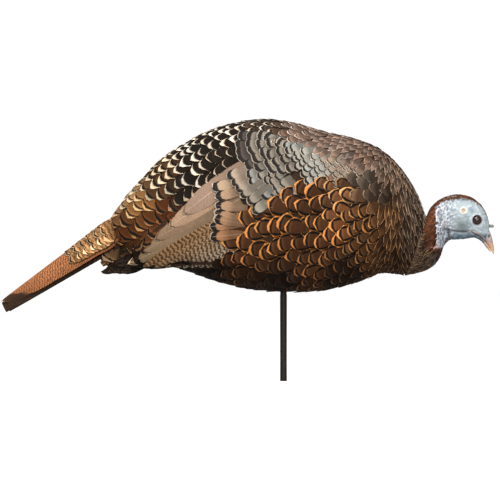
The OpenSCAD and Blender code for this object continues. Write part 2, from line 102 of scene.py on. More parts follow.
def unit(v: np.ndarray) -> np.ndarray:
    """Returns vectors of length 1 along the last axis."""
    return v / np.maximum(np.linalg.norm(v, axis=-1, keepdims=True), 1e-9)


def smooth_curve(points: np.ndarray, at: np.ndarray) -> np.ndarray:
    """Reads a smooth curve through points.

    Args:
        points: The points that the curve passes, one a row.
        at: Places along it from 0 to 1.

    Returns:
        One row for each place.
    """
    last = len(points) - 1
    t = np.clip(at, 0, 1) * last
    i = np.minimum(t.astype(int), last - 1)
    f = (t - i)[:, None]
    p0, p1 = points[np.maximum(i - 1, 0)], points[i]
    p2, p3 = points[i + 1], points[np.minimum(i + 2, last)]
    return 0.5 * (
        2 * p1 + (p2 - p0) * f + (2 * p0 - 5 * p1 + 4 * p2 - p3) * f**2 + (3 * p1 - p0 - 3 * p2 + p3) * f**3
    )


def smoothstep(low: float, high: float, value: np.ndarray) -> np.ndarray:
    """Returns 0 below low, 1 above high and a smooth rise between them."""
    t = np.clip((value - low) / (high - low), 0, 1)
    return t * t * (3 - 2 * t)


@dataclass
class Plan:
    """Side plan of a moulding: places are shares of its box, from the rear and from the bottom."""

    low: Vector
    high: Vector

    def at(self, spots: list[Spot]) -> np.ndarray:
        """Returns rows of x and z, in metres."""
        shares = np.array(spots, float).reshape(-1, 2)
        low = np.array([self.low.x, self.low.z])
        return low + shares * (np.array([self.high.x, self.high.z]) - low)


@dataclass
class Envelope:
    """A smooth closed skin over CAD nodes, read by rays along ribs that fan from back to belly.

    It is read on the right side and mirrored, because the mouldings are symmetrical.
    """

    nodes: list[str]
    plan: Plan
    ribs: list[tuple[Spot, Spot]]
    rings: int = 120
    spokes: int = 36
    blur: int = 2
    points: np.ndarray = field(init=False)
    tree: BVHTree = field(init=False)
    sense: float = field(init=False)

    def __post_init__(self) -> None:
        """Casts the rays and builds the skin."""
        tree = cad_tree(self.nodes)
        ends = np.array([np.concatenate(self.plan.at(list(rib))) for rib in self.ribs])
        at = smooth_curve(ends, np.linspace(0, 1, self.rings))
        centre = np.stack([(at[:, 0] + at[:, 2]) / 2, np.zeros(self.rings), (at[:, 1] + at[:, 3]) / 2], 1)
        up = unit(np.stack([at[:, 0] - at[:, 2], np.zeros(self.rings), at[:, 1] - at[:, 3]], 1))
        turn = np.radians(np.linspace(0.6, 179.4, self.spokes + 1))
        reach = np.full((self.rings, self.spokes + 1), np.nan)
        arrows = np.cos(turn)[None, :, None] * up[:, None] - np.sin(turn)[None, :, None] * np.array([0.0, 1.0, 0.0])
        far = 0.5
        for i in range(self.rings):
            for j in range(self.spokes + 1):
                arrow = Vector(arrows[i, j])
                hit = tree.ray_cast(Vector(centre[i]) + arrow * far, -arrow, far)
                if hit[0] is not None:
                    reach[i, j] = far - hit[3]
        reach = self._even(reach)
        self.points = centre[:, None] + arrows * reach[..., None]
        self._skin()

    def _even(self, reach: np.ndarray) -> np.ndarray:
        """Fills rays that met nothing from their neighbours, and softens steps."""
        whole = np.arange(reach.shape[1])
        for i, row in enumerate(reach):
            found = ~np.isnan(row)
            if found.sum() > 3:
                reach[i] = np.interp(whole, whole[found], row[found])
        good = [i for i, row in enumerate(reach) if not np.isnan(row).any()]
        for i in range(len(reach)):
            reach[i] = reach[min(good, key=lambda g: abs(g - i))]
        sharp = reach
        for _ in range(self.blur):
            wide = np.pad(reach, 1, mode="edge")
            rows = (wide[:-2] + 2 * wide[1:-1] + wide[2:]) / 4
            reach = (rows[:, :-2] + 2 * rows[:, 1:-1] + rows[:, 2:]) / 4
        return np.maximum(reach, sharp)

    def _skin(self) -> None:
        """Closes the half rings into whole ones and makes the tree that feathers are laid on."""
        mirrored = self.points[:, ::-1] * np.array([1.0, -1.0, 1.0])
        whole = np.concatenate([self.points, mirrored], 1)
        steps = whole.shape[1]
        flat = [Vector(p) for p in whole.reshape(-1, 3)]
        faces = []
        for i in range(self.rings - 1):
            for j in range(steps):
                k = (j + 1) % steps
                faces.append([i * steps + j, i * steps + k, (i + 1) * steps + k, (i + 1) * steps + j])
        self.tree = BVHTree.FromPolygons(flat, faces)
        near = [self.tree.find_nearest(p) for p in flat[:: steps // 2 + 1]]
        self.sense = 1.0 if sum(n[1].y * n[0].y for n in near) > 0 else -1.0

    def read(self, along: np.ndarray, round_: np.ndarray) -> tuple[np.ndarray, ...]:
        """Reads the right side.

        Args:
            along: Shares of the way from the first rib to the last.
            round_: Shares of the way from the back to the belly.

        Returns:
            Points, and the directions towards the first rib, down the side and outwards.
        """
        back = -np.gradient(self.points, axis=0)
        down = np.gradient(self.points, axis=1)
        p, b, d = (self._between(grid, along, round_) for grid in (self.points, back, down))
        b, d = unit(b), unit(d)
        return p, b, d, unit(np.cross(b, d))

    def _between(self, grid: np.ndarray, along: np.ndarray, round_: np.ndarray) -> np.ndarray:
        """Reads a grid between its rings and spokes."""
        u = np.clip(along, 0, 1) * (grid.shape[0] - 1)
        v = np.clip(round_, 0, 1) * (grid.shape[1] - 1)
        i = np.minimum(u.astype(int), grid.shape[0] - 2)
        j = np.minimum(v.astype(int), grid.shape[1] - 2)
        f, g = (u - i)[:, None], (v - j)[:, None]
        near = grid[i, j] * (1 - g) + grid[i, j + 1] * g
        past = grid[i + 1, j] * (1 - g) + grid[i + 1, j + 1] * g
        return near * (1 - f) + past * f

    def drape(self, points: np.ndarray) -> tuple[np.ndarray, np.ndarray]:
        """Brings points to the skin.

        Args:
            points: One a row.

        Returns:
            The nearest points of the skin and its outward directions there.
        """
        found = [self.tree.find_nearest(Vector(p)) for p in points]
        return np.array([f[0] for f in found]), self.sense * np.array([f[1] for f in found])


@dataclass
class Sheet:
    """A skin read by parallel rays, which goes on smoothly past the edge of its CAD nodes.

    Its axes are unit vectors: along and across lie in the sheet, and out points to the rays' start.
    """

    nodes: list[str]
    origin: np.ndarray
    along: np.ndarray
    across: np.ndarray
    out: np.ndarray
    spans: tuple[float, float, float, float]
    pitch: float = 4 * MM
    height: np.ndarray = field(init=False)

    def __post_init__(self) -> None:
        """Casts the rays and spreads what they found."""
        tree = cad_tree(self.nodes)
        a0, a1, b0, b1 = self.spans
        a = np.arange(a0, a1 + self.pitch, self.pitch)
        b = np.arange(b0, b1 + self.pitch, self.pitch)
        far = 0.4
        self.height = np.full((len(a), len(b)), np.nan)
        for i, ai in enumerate(a):
            for j, bj in enumerate(b):
                foot = self.origin + self.along * ai + self.across * bj
                hit = tree.ray_cast(Vector(foot + self.out * far), Vector(-self.out), 2 * far)
                if hit[0] is not None:
                    self.height[i, j] = far - hit[3]
        read = ~np.isnan(self.height)
        while np.isnan(self.height).any():
            wide = np.pad(self.height, 1, constant_values=np.nan)
            near = np.stack([wide[:-2, 1:-1], wide[2:, 1:-1], wide[1:-1, :-2], wide[1:-1, 2:]])
            count = (~np.isnan(near)).sum(0)
            mean = np.nansum(near, 0) / np.maximum(count, 1)
            fresh = np.isnan(self.height) & (count > 0)
            self.height[fresh] = mean[fresh]
        passes, released = 60, 4
        for step in range(passes):
            wide = np.pad(self.height, 1, mode="edge")
            mean = (wide[:-2, 1:-1] + wide[2:, 1:-1] + wide[1:-1, :-2] + wide[1:-1, 2:]) / 4
            self.height = np.where(read & (step < passes - released), self.height, mean)

    def drape(self, points: np.ndarray) -> tuple[np.ndarray, np.ndarray]:
        """Brings points to the sheet along its outward axis.

        Args:
            points: One a row.

        Returns:
            Points of the sheet and its outward directions there.
        """
        a0, _, b0, _ = self.spans
        shift = points - self.origin
        a, b = shift @ self.along, shift @ self.across
        u = np.clip((a - a0) / self.pitch, 0, self.height.shape[0] - 1.001)
        v = np.clip((b - b0) / self.pitch, 0, self.height.shape[1] - 1.001)
        i, j = u.astype(int), v.astype(int)
        f, g = u - i, v - j
        h = self.height
        near, past = h[i, j] * (1 - g) + h[i, j + 1] * g, h[i + 1, j] * (1 - g) + h[i + 1, j + 1] * g
        rise = near * (1 - f) + past * f
        tilt_a = (past - near) / self.pitch
        tilt_b = ((h[i, j + 1] - h[i, j]) * (1 - f) + (h[i + 1, j + 1] - h[i + 1, j]) * f) / self.pitch
        spot = self.origin + a[:, None] * self.along + b[:, None] * self.across + rise[:, None] * self.out
        lean = self.out - tilt_a[:, None] * self.along - tilt_b[:, None] * self.across
        return spot, unit(lean)

    def place(self, spots: np.ndarray) -> np.ndarray:
        """Returns points of the sheet at rows of along and across."""
        flat = self.origin + spots[:, :1] * self.along + spots[:, 1:] * self.across
        return self.drape(flat)[0]


# ---- Feathers -----------------------------------------------------------------------------------


@dataclass(frozen=True)
class Vane:
    """How a kind of feather is marked. Colours are linear, and lengths are in millimetres.

    The edge runs round the tip, the band lies inside it, and wrap says how far both run up the sides.
    """

    ground: Colour
    edge: Colour
    edge_w: float = 1.2
    band: Colour = BLACK
    band_w: float = 0.0
    bars: float = 0.0
    bar_pitch: float = 5.0
    mottle: float = 0.3
    shaft_w: float = 0.0
    wrap: float = 0.6

    def row(self) -> np.ndarray:
        """Returns the marks as one row of numbers, which can be blended."""
        marks = (self.edge_w, self.band_w, self.bars, self.bar_pitch, self.mottle, self.shaft_w, self.wrap)
        return np.array([*self.ground, *self.band, *self.edge, *marks])


@dataclass(frozen=True)
class Cut:
    """The outline and the set of a feather. Lengths are in metres; the rest are shares.

    shown is how much of it the next feather leaves bare, and shade how dark the painted shade makes it past that, where
    the next feather would shadow it.
    """

    length: float
    half: float
    lift: float = 2.4 * MM
    base: float = 0.3 * MM
    rounding: float = 0.35
    taper: float = 0.5
    tip: float = 0.78
    camber: float = 0.7 * MM
    bend: float = 0.0
    ragged: float = 0.02
    shade: float = 0.55
    shown: float = 12 * MM


WIDEST = 0.62  # where a feather is widest, as a share of its length
# Strips of a feather's bake cell: its top, its underside, and its root and tip ends.
TOP_STRIP = (0.03, 0.80)
LOW_STRIP = (0.86, 0.94)
ROOT_STRIP = (0.825, 0.825, 0.015)
TIP_STRIP = (0.96, 0.96, 0.02)


@dataclass
class Feather:
    """One feather: its root, the way it points, the way to its left edge, its cut and its marks."""

    root: np.ndarray
    aim: np.ndarray
    across: np.ndarray
    cut: Cut
    marks: np.ndarray
    seed: float


@dataclass
class Coat:
    """One piece made of feathers that lie on a skin. Each is a closed lens with its own bake cell.

    rows and columns are the points of a feather's grid, and thick is how far its underside lies below its top.
    """

    name: str
    side: Side
    feathers: list[Feather]
    skin: Envelope | Sheet
    slot: str
    body: str = "decoy"
    rows: int = 8
    columns: int = 7
    thick: float = 0.35 * MM

    def build(self, material: bpy.types.Material) -> bpy.types.Object:
        """Makes the mesh, its maps and attributes, and dresses it.

        Args:
            material: The plumage finish.

        Returns:
            The piece.
        """
        mesh = bpy.data.meshes.new(self.name)
        u, v = self._grid()
        points = self._points(u, v)
        low = list(range(2, self.columns - 1, 2))
        u, v = (np.concatenate([share.ravel(), share[:, low].ravel()]) for share in (u, v))
        faces, maps = self._faces(u, v, len(low))
        per = len(u)
        count = len(self.feathers)
        if self.side is Side.LEFT:
            points = points * np.array([1.0, -1.0, 1.0])
        else:
            faces = [face[::-1] for face in faces]
            maps = [m[::-1] for m in maps]
        every = [[i + k * per for i in face] for k in range(count) for face in faces]
        mesh.from_pydata(points.tolist(), [], every)
        self._attributes(mesh, per)
        self._maps(mesh, faces, maps, u, v)
        smooth = np.tile([len(face) == 4 for face in faces], count)
        mesh.polygons.foreach_set("use_smooth", smooth)
        mesh.materials.append(material)
        mesh.validate()
        piece = bpy.data.objects.new(self.name, mesh)
        bpy.context.scene.collection.objects.link(piece)
        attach(piece, self.body)
        log.info("%s: %d feathers", self.name, count)
        return piece

    def _grid(self) -> tuple[np.ndarray, np.ndarray]:
        """Returns shares across from -1 to 1 and along from 0 to 1, closer together near the rim."""
        across = np.sin(np.linspace(-math.pi / 2, math.pi / 2, self.columns))
        along = 1 - (1 - np.linspace(0, 1, self.rows)) ** 1.25
        v, u = np.meshgrid(along, across, indexing="ij")
        return u, v

    def _points(self, u: np.ndarray, v: np.ndarray) -> np.ndarray:
        """Lays every feather's grid on the skin and lifts it by its cut."""

        def column(values: list[float]) -> np.ndarray:
            """Shapes one value a feather to suit the grids."""
            return np.array(values)[:, None, None]

        cuts = [f.cut for f in self.feathers]
        length, half = column([c.length for c in cuts]), column([c.half for c in cuts])
        rounding, taper = column([c.rounding for c in cuts]), column([c.taper for c in cuts])
        tip, bend = column([c.tip for c in cuts]), column([c.bend for c in cuts])
        seed = column([f.seed for f in self.feathers])
        ragged = column([c.ragged for c in cuts]) * np.sin(u * 9 + seed * 40) * v**3
        spread = taper + (1 - taper) * np.sin(np.minimum(v / WIDEST, 1) * math.pi / 2)
        spread = spread * (1 - (1 - tip) * np.clip((v - WIDEST) / (1 - WIDEST), 0, 1) ** 2)
        along = length * (v * (1 - rounding * u**2 * v**1.5) + ragged)
        across = half * (u * spread) + bend * v**2
        root = np.array([f.root for f in self.feathers])[:, None, None]
        aim = np.array([f.aim for f in self.feathers])[:, None, None]
        side = np.array([f.across for f in self.feathers])[:, None, None]
        points = root + aim * along[..., None] + side * across[..., None]
        laid, out = self.skin.drape(points.reshape(-1, 3))
        rise = column([c.base for c in cuts]) + column([c.lift for c in cuts]) * v
        rise = rise - column([c.camber for c in cuts]) * u**2 * (0.4 + 0.6 * v)
        shape = (len(cuts), self.rows, self.columns, 3)
        top = (laid + out * rise.reshape(-1, 1)).reshape(shape)
        low = (top - out.reshape(shape) * self.thick)[:, :, 2 : self.columns - 1 : 2]
        return np.concatenate([grid.reshape(len(cuts), -1, 3) for grid in (top, low)], 1).reshape(-1, 3)

    def _faces(self, u: np.ndarray, v: np.ndarray, low: int) -> tuple[list[list[int]], list[list[tuple[float, float]]]]:
        """Lists one feather's faces, and each corner's place in its bake cell.

        Args:
            u: Each point's share across.
            v: Each point's share along.
            low: How many points each row has underneath, between its two edges.

        Returns:
            The faces, and the corners' places.
        """
        rows, columns = self.rows, self.columns

        def at(i: int, j: int) -> int:
            """Returns a top point's number."""
            return i * columns + j

        def beneath(i: int) -> list[int]:
            """Lists a row's points underneath, with its two edge points."""
            first = rows * columns + i * low
            return [at(i, 0), *range(first, first + low), at(i, columns - 1)]

        def spot(n: int, start: float, end: float, bulge: float = 0.0) -> tuple[float, float]:
            """Places a point in the bake cell.

            Args:
                n: Its number.
                start: Its strip's start, at the root.
                end: Its strip's end, at the tip.
                bulge: How far the middle bows, less and backwards underneath.

            Returns:
                The place across and up the cell.
            """
            if bulge and n >= rows * columns:
                bulge = -0.3 * bulge
            return (0.5 + 0.46 * u[n], start + (end - start) * v[n] + bulge * (1 - u[n] ** 2))

        faces, maps = [], []
        for i in range(rows - 1):
            for j in range(columns - 1):
                faces.append([at(i, j), at(i, j + 1), at(i + 1, j + 1), at(i + 1, j)])
                maps.append([spot(n, *TOP_STRIP) for n in faces[-1]])
        for i in range(rows - 1):
            near_row, far_row = beneath(i), beneath(i + 1)
            for k in range(low + 1):
                faces.append([near_row[k], far_row[k], far_row[k + 1], near_row[k + 1]])
                maps.append([spot(n, *LOW_STRIP) for n in faces[-1]])
        faces.append([at(0, j) for j in range(columns - 1, -1, -1)] + beneath(0)[1:-1])
        maps.append([spot(n, *ROOT_STRIP) for n in faces[-1]])
        faces.append([at(rows - 1, j) for j in range(columns)] + beneath(rows - 1)[-2:0:-1])
        maps.append([spot(n, *TIP_STRIP) for n in faces[-1]])
        return faces, maps

    def _attributes(self, mesh: bpy.types.Mesh, per: int) -> None:
        """Stores each feather's marks on its points."""
        marks = np.array([f.marks for f in self.feathers])
        sizes = np.array([[f.cut.length / MM, f.cut.half / MM, f.seed] for f in self.feathers])
        rows = {
            "ground": marks[:, 0:3],
            "band": marks[:, 3:6],
            "edge": marks[:, 6:9],
            "widths": marks[:, 9:12],
            "grain": marks[:, 12:15],
            "sizes": sizes,
            # wrap also carries how strong the painted shade is on the covered part, and how long the bare part is.
            "wrap": np.array([[f.marks[15], f.cut.shade, f.cut.shown / MM] for f in self.feathers]),
        }
        for name, values in rows.items():
            layer = mesh.attributes.new(name, "FLOAT_VECTOR", "POINT")
            layer.data.foreach_set("vector", np.repeat(values, per, 0).astype(np.float32).ravel())

    def _maps(self, mesh: bpy.types.Mesh, faces: list, maps: list, u: np.ndarray, v: np.ndarray) -> None:
        """Adds the map along and across each feather, and the map with one cell a feather for baking."""
        count = len(self.feathers)
        corners = np.concatenate([np.array(f) for f in faces])
        own = np.stack([u[corners] * 0.5 + 0.5, v[corners]], 1)
        layer = mesh.uv_layers.new(name="feather")
        layer.data.foreach_set("uv", np.tile(own, (count, 1)).astype(np.float32).ravel())
        cell = np.concatenate([np.array(m) for m in maps])
        wide = math.ceil(math.sqrt(count))
        shift = np.array([[k % wide, k // wide] for k in range(count)])
        placed = (cell[None] + shift[:, None]) / wide
        layer = mesh.uv_layers.new(name="OFBake")
        layer.data.foreach_set("uv", placed.astype(np.float32).ravel())
        mesh.uv_layers["feather"].active_render = True


@dataclass(frozen=True)
class Tract:
    """The plumage round one spot of the body, at shares of the moulded body's box.

    lean is how far the feathers point down from straight back, in degrees; step and breadth are how far
    apart they sit along and across, and rise how far they stand off, in millimetres; reach is their
    length in steps.
    """

    along: float
    up: float
    lean: float
    step: float
    breadth: float
    vane: Vane
    reach: float = 2.5
    rise: float = 0.3


def rump_vane(edge: Colour, edge_w: float, band_w: float, ground: Colour) -> Vane:
    """Returns a rump feather: a pale crescent, a black bar inside it and a warm middle."""
    return Vane(ground=ground, edge=edge, edge_w=edge_w * 1.6, band=BLACK, band_w=band_w, wrap=0.36, mottle=0.5)


def streak_vane(ground: Colour, edge: Colour, edge_w: float) -> Vane:
    """Returns a narrow breast feather with thin light sides."""
    return Vane(ground=ground, edge=edge, edge_w=edge_w * 1.5, wrap=0.96, mottle=0.5, shaft_w=0.35)


def flank_vane(edge: Colour, edge_w: float, ground: Colour = (0.120, 0.049, 0.020)) -> Vane:
    """Returns a broad dark flank feather with a rust rim."""
    return Vane(ground=ground, edge=edge, edge_w=edge_w * 1.6, band=BLACK, band_w=4.4, wrap=0.90, mottle=1.0)


DARK_GROUND: Colour = (0.024, 0.016, 0.010)
RUST: Colour = (0.72, 0.270, 0.066)

BODY_TRACTS: list[Tract] = [
    # rump, from the tail's root up to the back
    Tract(-0.05, 0.40, 50, 12, 24, rump_vane((0.86, 0.56, 0.30), 3.4, 2.4, (0.68, 0.36, 0.16))),
    Tract(0.035, 0.59, 64, 12, 25, rump_vane((0.90, 0.72, 0.50), 5.0, 2.6, (0.78, 0.50, 0.25))),
    Tract(0.061, 0.38, 70, 13, 30, rump_vane((0.42, 0.20, 0.075), 2.0, 6.5, (0.17, 0.055, 0.017))),
    Tract(0.083, 0.50, 66, 12, 27, rump_vane((0.70, 0.44, 0.20), 3.2, 3.8, (0.42, 0.18, 0.055))),
    Tract(0.164, 0.46, 58, 13, 30, rump_vane((0.30, 0.115, 0.04), 1.8, 6.0, (0.13, 0.038, 0.011))),
    Tract(0.116, 0.82, 40, 12, 20, rump_vane((0.74, 0.58, 0.40), 4.2, 4.6, (0.11, 0.065, 0.032))),
    Tract(0.150, 0.66, 50, 12, 22, rump_vane((0.70, 0.53, 0.34), 3.8, 5.4, (0.13, 0.055, 0.022))),
    Tract(0.229, 0.88, 26, 12, 19, rump_vane((0.84, 0.70, 0.56), 4.3, 4.6, DARK_GROUND)),
    Tract(0.245, 0.56, 48, 13, 24, rump_vane((0.46, 0.34, 0.22), 1.6, 8.0, DARK_GROUND)),
    Tract(0.277, 0.70, 38, 13, 22, rump_vane((0.80, 0.65, 0.50), 4.0, 5.4, DARK_GROUND)),
    Tract(0.358, 0.93, 12, 12, 19, rump_vane((0.80, 0.67, 0.54), 4.0, 4.6, DARK_GROUND)),
    Tract(0.350, 0.74, 22, 13, 24, rump_vane((0.46, 0.35, 0.24), 1.6, 8.0, DARK_GROUND)),
    # back and mauve shoulder
    Tract(0.477, 0.97, 4, 12, 18, rump_vane((0.62, 0.50, 0.38), 2.4, 4.6, (0.068, 0.042, 0.027))),
    Tract(0.600, 0.94, 14, 11, 20, rump_vane((0.56, 0.42, 0.32), 1.6, 2.4, (0.25, 0.156, 0.112))),
    Tract(0.696, 0.85, 36, 13, 9, streak_vane((0.23, 0.145, 0.105), (0.50, 0.37, 0.29), 1.0)),
    Tract(0.745, 0.75, 42, 13, 9, streak_vane((0.19, 0.125, 0.092), (0.44, 0.32, 0.25), 1.0)),
    Tract(0.809, 0.77, 46, 13, 8, streak_vane((0.19, 0.115, 0.08), (0.40, 0.275, 0.20), 1.0)),
    # shoulder front
    Tract(0.790, 0.63, -24, 13, 24, Vane((0.068, 0.050, 0.036), (0.30, 0.23, 0.155), 1.3, wrap=0.95), rise=1.0),
    Tract(0.835, 0.56, -5, 12, 20, Vane((0.058, 0.038, 0.025), (0.30, 0.21, 0.13), 1.2, wrap=0.95), rise=1.0),
    # breast
    Tract(0.896, 0.68, 58, 18, 6.5, streak_vane((0.15, 0.096, 0.066), (0.54, 0.38, 0.26), 1.0), 2.2),
    Tract(0.874, 0.47, 62, 19, 7, streak_vane((0.072, 0.032, 0.014), (0.48, 0.24, 0.10), 1.2), 2.2),
    Tract(0.960, 0.50, 78, 20, 6, streak_vane((0.050, 0.033, 0.023), (0.44, 0.29, 0.19), 1.0), 2.2),
    Tract(0.970, 0.38, 84, 20, 6, streak_vane((0.036, 0.023, 0.015), (0.40, 0.265, 0.17), 1.0), 2.2),
    Tract(0.874, 0.24, 62, 18, 7, streak_vane((0.034, 0.016, 0.008), (0.28, 0.14, 0.06), 1.2), 2.2),
    Tract(0.961, 0.25, 88, 18, 6, streak_vane((0.024, 0.014, 0.009), (0.25, 0.155, 0.09), 1.0), 2.2),
    Tract(0.965, 0.14, 98, 15, 6, streak_vane((0.026, 0.013, 0.007), (0.24, 0.115, 0.055), 1.1), 2.2),
    # flank
    Tract(0.440, 0.34, 4, 14, 28, flank_vane((0.70, 0.265, 0.066), 2.5), rise=1.4),
    Tract(0.519, 0.27, 12, 13, 28, flank_vane(RUST, 2.4), rise=1.0),
    Tract(0.560, 0.40, -14, 12.5, 27, flank_vane(RUST, 2.3), rise=2.4),
    Tract(0.640, 0.50, -26, 12.5, 26, flank_vane((0.68, 0.265, 0.07), 2.4, (0.095, 0.040, 0.018)), rise=2.4),
    Tract(0.640, 0.34, 2, 11.5, 26, flank_vane(RUST, 2.3), rise=1.0),
    Tract(0.729, 0.40, 2, 11.5, 23, flank_vane((0.72, 0.30, 0.085), 2.2, (0.24, 0.095, 0.034)), rise=1.2),
    Tract(0.729, 0.53, -24, 12, 23, flank_vane((0.60, 0.29, 0.11), 2.2, (0.25, 0.105, 0.04)), rise=2.0),
    Tract(0.800, 0.42, 26, 10, 22, flank_vane((0.54, 0.23, 0.07), 1.8, (0.20, 0.085, 0.03))),
    Tract(0.800, 0.26, 36, 10, 24, flank_vane((0.46, 0.20, 0.065), 1.7, (0.15, 0.065, 0.024))),
    Tract(0.650, 0.20, 22, 12.5, 26, flank_vane((0.50, 0.20, 0.062), 2.2)),
    # belly and the dark feathers behind the stake
    Tract(0.535, 0.06, 18, 14, 32, flank_vane((0.13, 0.056, 0.024), 0.9, (0.026, 0.014, 0.009))),
    Tract(0.277, 0.12, 14, 14, 30, flank_vane((0.050, 0.026, 0.014), 1.0, (0.012, 0.008, 0.005))),
    Tract(0.110, 0.17, 22, 13, 26, flank_vane((0.060, 0.030, 0.016), 1.0, (0.010, 0.007, 0.005))),
    Tract(0.745, 0.10, 34, 11, 26, flank_vane((0.17, 0.075, 0.03), 1.4, (0.026, 0.013, 0.007))),
]

WING_OUTLINE: list[Spot] = [
    (0.075, 0.169), (0.130, 0.275), (0.200, 0.385), (0.268, 0.460), (0.336, 0.530), (0.374, 0.610),
    (0.400, 0.690), (0.415, 0.885), (0.490, 0.890), (0.535, 0.850), (0.584, 0.800), (0.638, 0.735),
    (0.730, 0.700), (0.700, 0.630), (0.612, 0.605), (0.550, 0.550), (0.505, 0.505), (0.445, 0.450),
    (0.412, 0.400), (0.385, 0.321), (0.380, 0.263), (0.383, 0.204), (0.358, 0.163), (0.164, 0.146),
]


def inside(points: np.ndarray, outline: np.ndarray) -> np.ndarray:
    """Tells which points lie inside a closed outline.

    Args:
        points: Rows of x and z.
        outline: Rows of x and z, in order round the outline.

    Returns:
        One truth value for each point.
    """
    x, z = points[:, 0], points[:, 1]
    result = np.zeros(len(points), bool)
    for (x0, z0), (x1, z1) in zip(outline, np.roll(outline, -1, 0)):
        crosses = (z0 > z) != (z1 > z)
        at = x0 + (z - z0) * (x1 - x0) / (z1 - z0 if z1 != z0 else 1e-9)
        result ^= crosses & (x < at)
    return result


@dataclass
class TractMap:
    """Blends the tracts over the side plan, so that each feather takes after the spots near it."""

    plan: Plan
    tracts: list[Tract]

    def read(self, spots: np.ndarray) -> tuple[np.ndarray, np.ndarray]:
        """Blends the tracts at rows of x and z.

        Args:
            spots: Rows of x and z, in metres.

        Returns:
            Rows of lean, step, breadth, reach and rise, and rows of marks.
        """
        places = self.plan.at([(t.along, t.up) for t in self.tracts])
        gap = ((spots[:, None] - places[None]) ** 2).sum(2) / (20 * MM) ** 2
        weight = 1 / (gap + 0.05) ** 2.5
        weight /= weight.sum(1, keepdims=True)
        sizes = np.array([[t.lean, t.step, t.breadth, t.reach, t.rise] for t in self.tracts])
        marks = np.array([t.vane.row() for t in self.tracts])
        return weight @ sizes, weight @ marks


def vary(marks: np.ndarray, rng: np.random.Generator, amount: float = 0.16) -> np.ndarray:
    """Returns marks with their colours a little lighter or darker, and a little warmer or cooler."""
    result = marks.copy()
    tone = np.exp(rng.normal(0, amount))
    warm = rng.normal(0, amount * 0.25)
    for k in (0, 6):
        result[k : k + 3] *= tone * np.array([1 + warm, 1, 1 - warm])
    result[9] *= np.exp(rng.normal(0, 0.15))
    return result


@dataclass
class BodyPlumage:
    """The small feathers of the body, seated so that each keeps its distance from the others."""

    skin: Envelope
    plan: Plan
    tracts: TractMap
    candidates: int = 26000
    per_piece: int = 64
    crowding: float = 0.87
    lookback: int = 400
    broad: float = 1.3

    def seat(self, rng: np.random.Generator) -> list[Feather]:
        """Seats the feathers of one side.

        Args:
            rng: The side's own source of chance.

        Returns:
            The feathers, from the tail to the neck.
        """
        along = np.sort(rng.uniform(0.0, 0.995, self.candidates))
        round_ = rng.uniform(0.0, 1.0, self.candidates)
        point, back, down, out = self.skin.read(along, round_)
        spots = point[:, [0, 2]]
        sizes, marks = self.tracts.read(spots)
        slope = np.degrees(np.arctan2(-back[:, 2], -back[:, 0]))
        turn = np.radians(sizes[:, 0] - slope)[:, None]
        aim = unit(back * np.cos(turn) + down * np.sin(turn))
        across = np.cross(out, aim)
        free = ~(inside(spots, self.plan.at(WING_OUTLINE)) & (out[:, 1] < -0.12))
        free &= point[:, 1] < -1.0 * MM
        seated: list[int] = []
        held = np.zeros((0, 3))
        for k in np.flatnonzero(free):
            step, breadth = sizes[k, 1] * MM / self.crowding, sizes[k, 2] * MM
            if seated:
                shift = held[-self.lookback :] - point[k]
                gap = (shift @ aim[k] / step) ** 2 + (shift @ across[k] / breadth) ** 2
                if gap.min() < 1:
                    continue
            seated.append(k)
            held = np.vstack([held, point[k]])
        feathers = []
        for k in seated:
            step, breadth, reach, rise = sizes[k, 1] * MM, sizes[k, 2] * MM, sizes[k, 3], sizes[k, 4] * MM
            broad = breadth > self.broad * step
            length = step * reach * rng.uniform(0.95, 1.12)
            sway = math.radians(rng.normal(0, 4))
            way = aim[k] * math.cos(sway) + across[k] * math.sin(sway)
            cut = Cut(
                length=length,
                half=breadth * 0.62 * rng.uniform(0.92, 1.1),
                lift=0.075 * length,
                base=rise,
                rounding=0.38 if broad else 0.12,
                tip=0.82 if broad else 0.32,
                camber=0.07 * breadth,
                ragged=0.03,
                shown=step,
            )
            root = point[k] - way * step * 1.2
            feathers.append(Feather(root, way, np.cross(out[k], way), cut, vary(marks[k], rng), rng.uniform()))
        return feathers

    def dress(self, side: Side, rng: np.random.Generator, material: bpy.types.Material) -> None:
        """Seats one side's feathers and sews them into pieces.

        Args:
            side: Which side.
            rng: The side's own source of chance.
            material: The plumage finish.
        """
        feathers = self.seat(rng)
        pieces = math.ceil(len(feathers) / self.per_piece)
        for k, part in enumerate(np.array_split(np.arange(len(feathers)), pieces)):
            name = f"body_plumage_{side.name.lower()}_{k + 1:02d}"
            Coat(name, side, [feathers[i] for i in part], self.skin, "body_plumage").build(material)


def between(a: Spot, b: Spot, t: float) -> Spot:
    """Returns the spot a share t of the way from a to b."""
    return (a[0] + (b[0] - a[0]) * t, a[1] + (b[1] - a[1]) * t)


def blend_vanes(a: Vane, b: Vane, t: float) -> np.ndarray:
    """Returns marks a share t of the way from one vane to another."""
    return a.row() * (1 - t) + b.row() * t


def lay(
    skin: Sheet, root: np.ndarray, tip: np.ndarray, cut: dict[str, float], marks: np.ndarray, seed: float
) -> Feather:
    """Makes one feather from where it starts to where it ends on a sheet.

    Args:
        skin: The sheet.
        root: Along and across of the root on the sheet.
        tip: Along and across of the tip.
        cut: Every size of the cut but its length.
        marks: The feather's marks.
        seed: A number from 0 to 1 that makes it its own.

    Returns:
        The feather.
    """
    way = tip - root
    length = float(np.linalg.norm(way))
    aim = (skin.along * way[0] + skin.across * way[1]) / length
    start = skin.origin + skin.along * root[0] + skin.across * root[1]
    return Feather(start, aim, np.cross(skin.out, aim), Cut(length=length, **cut), marks, seed)


@dataclass(frozen=True)
class CovertRow:
    """A row of wing coverts: their tips lie on a line from the wing's upper edge to its lower edge."""

    tips: tuple[Spot, ...]
    length: float
    count: int
    vane: Vane
    last_vane: Vane | None = None
    base: float = 1.2
    shown: float = 14.0


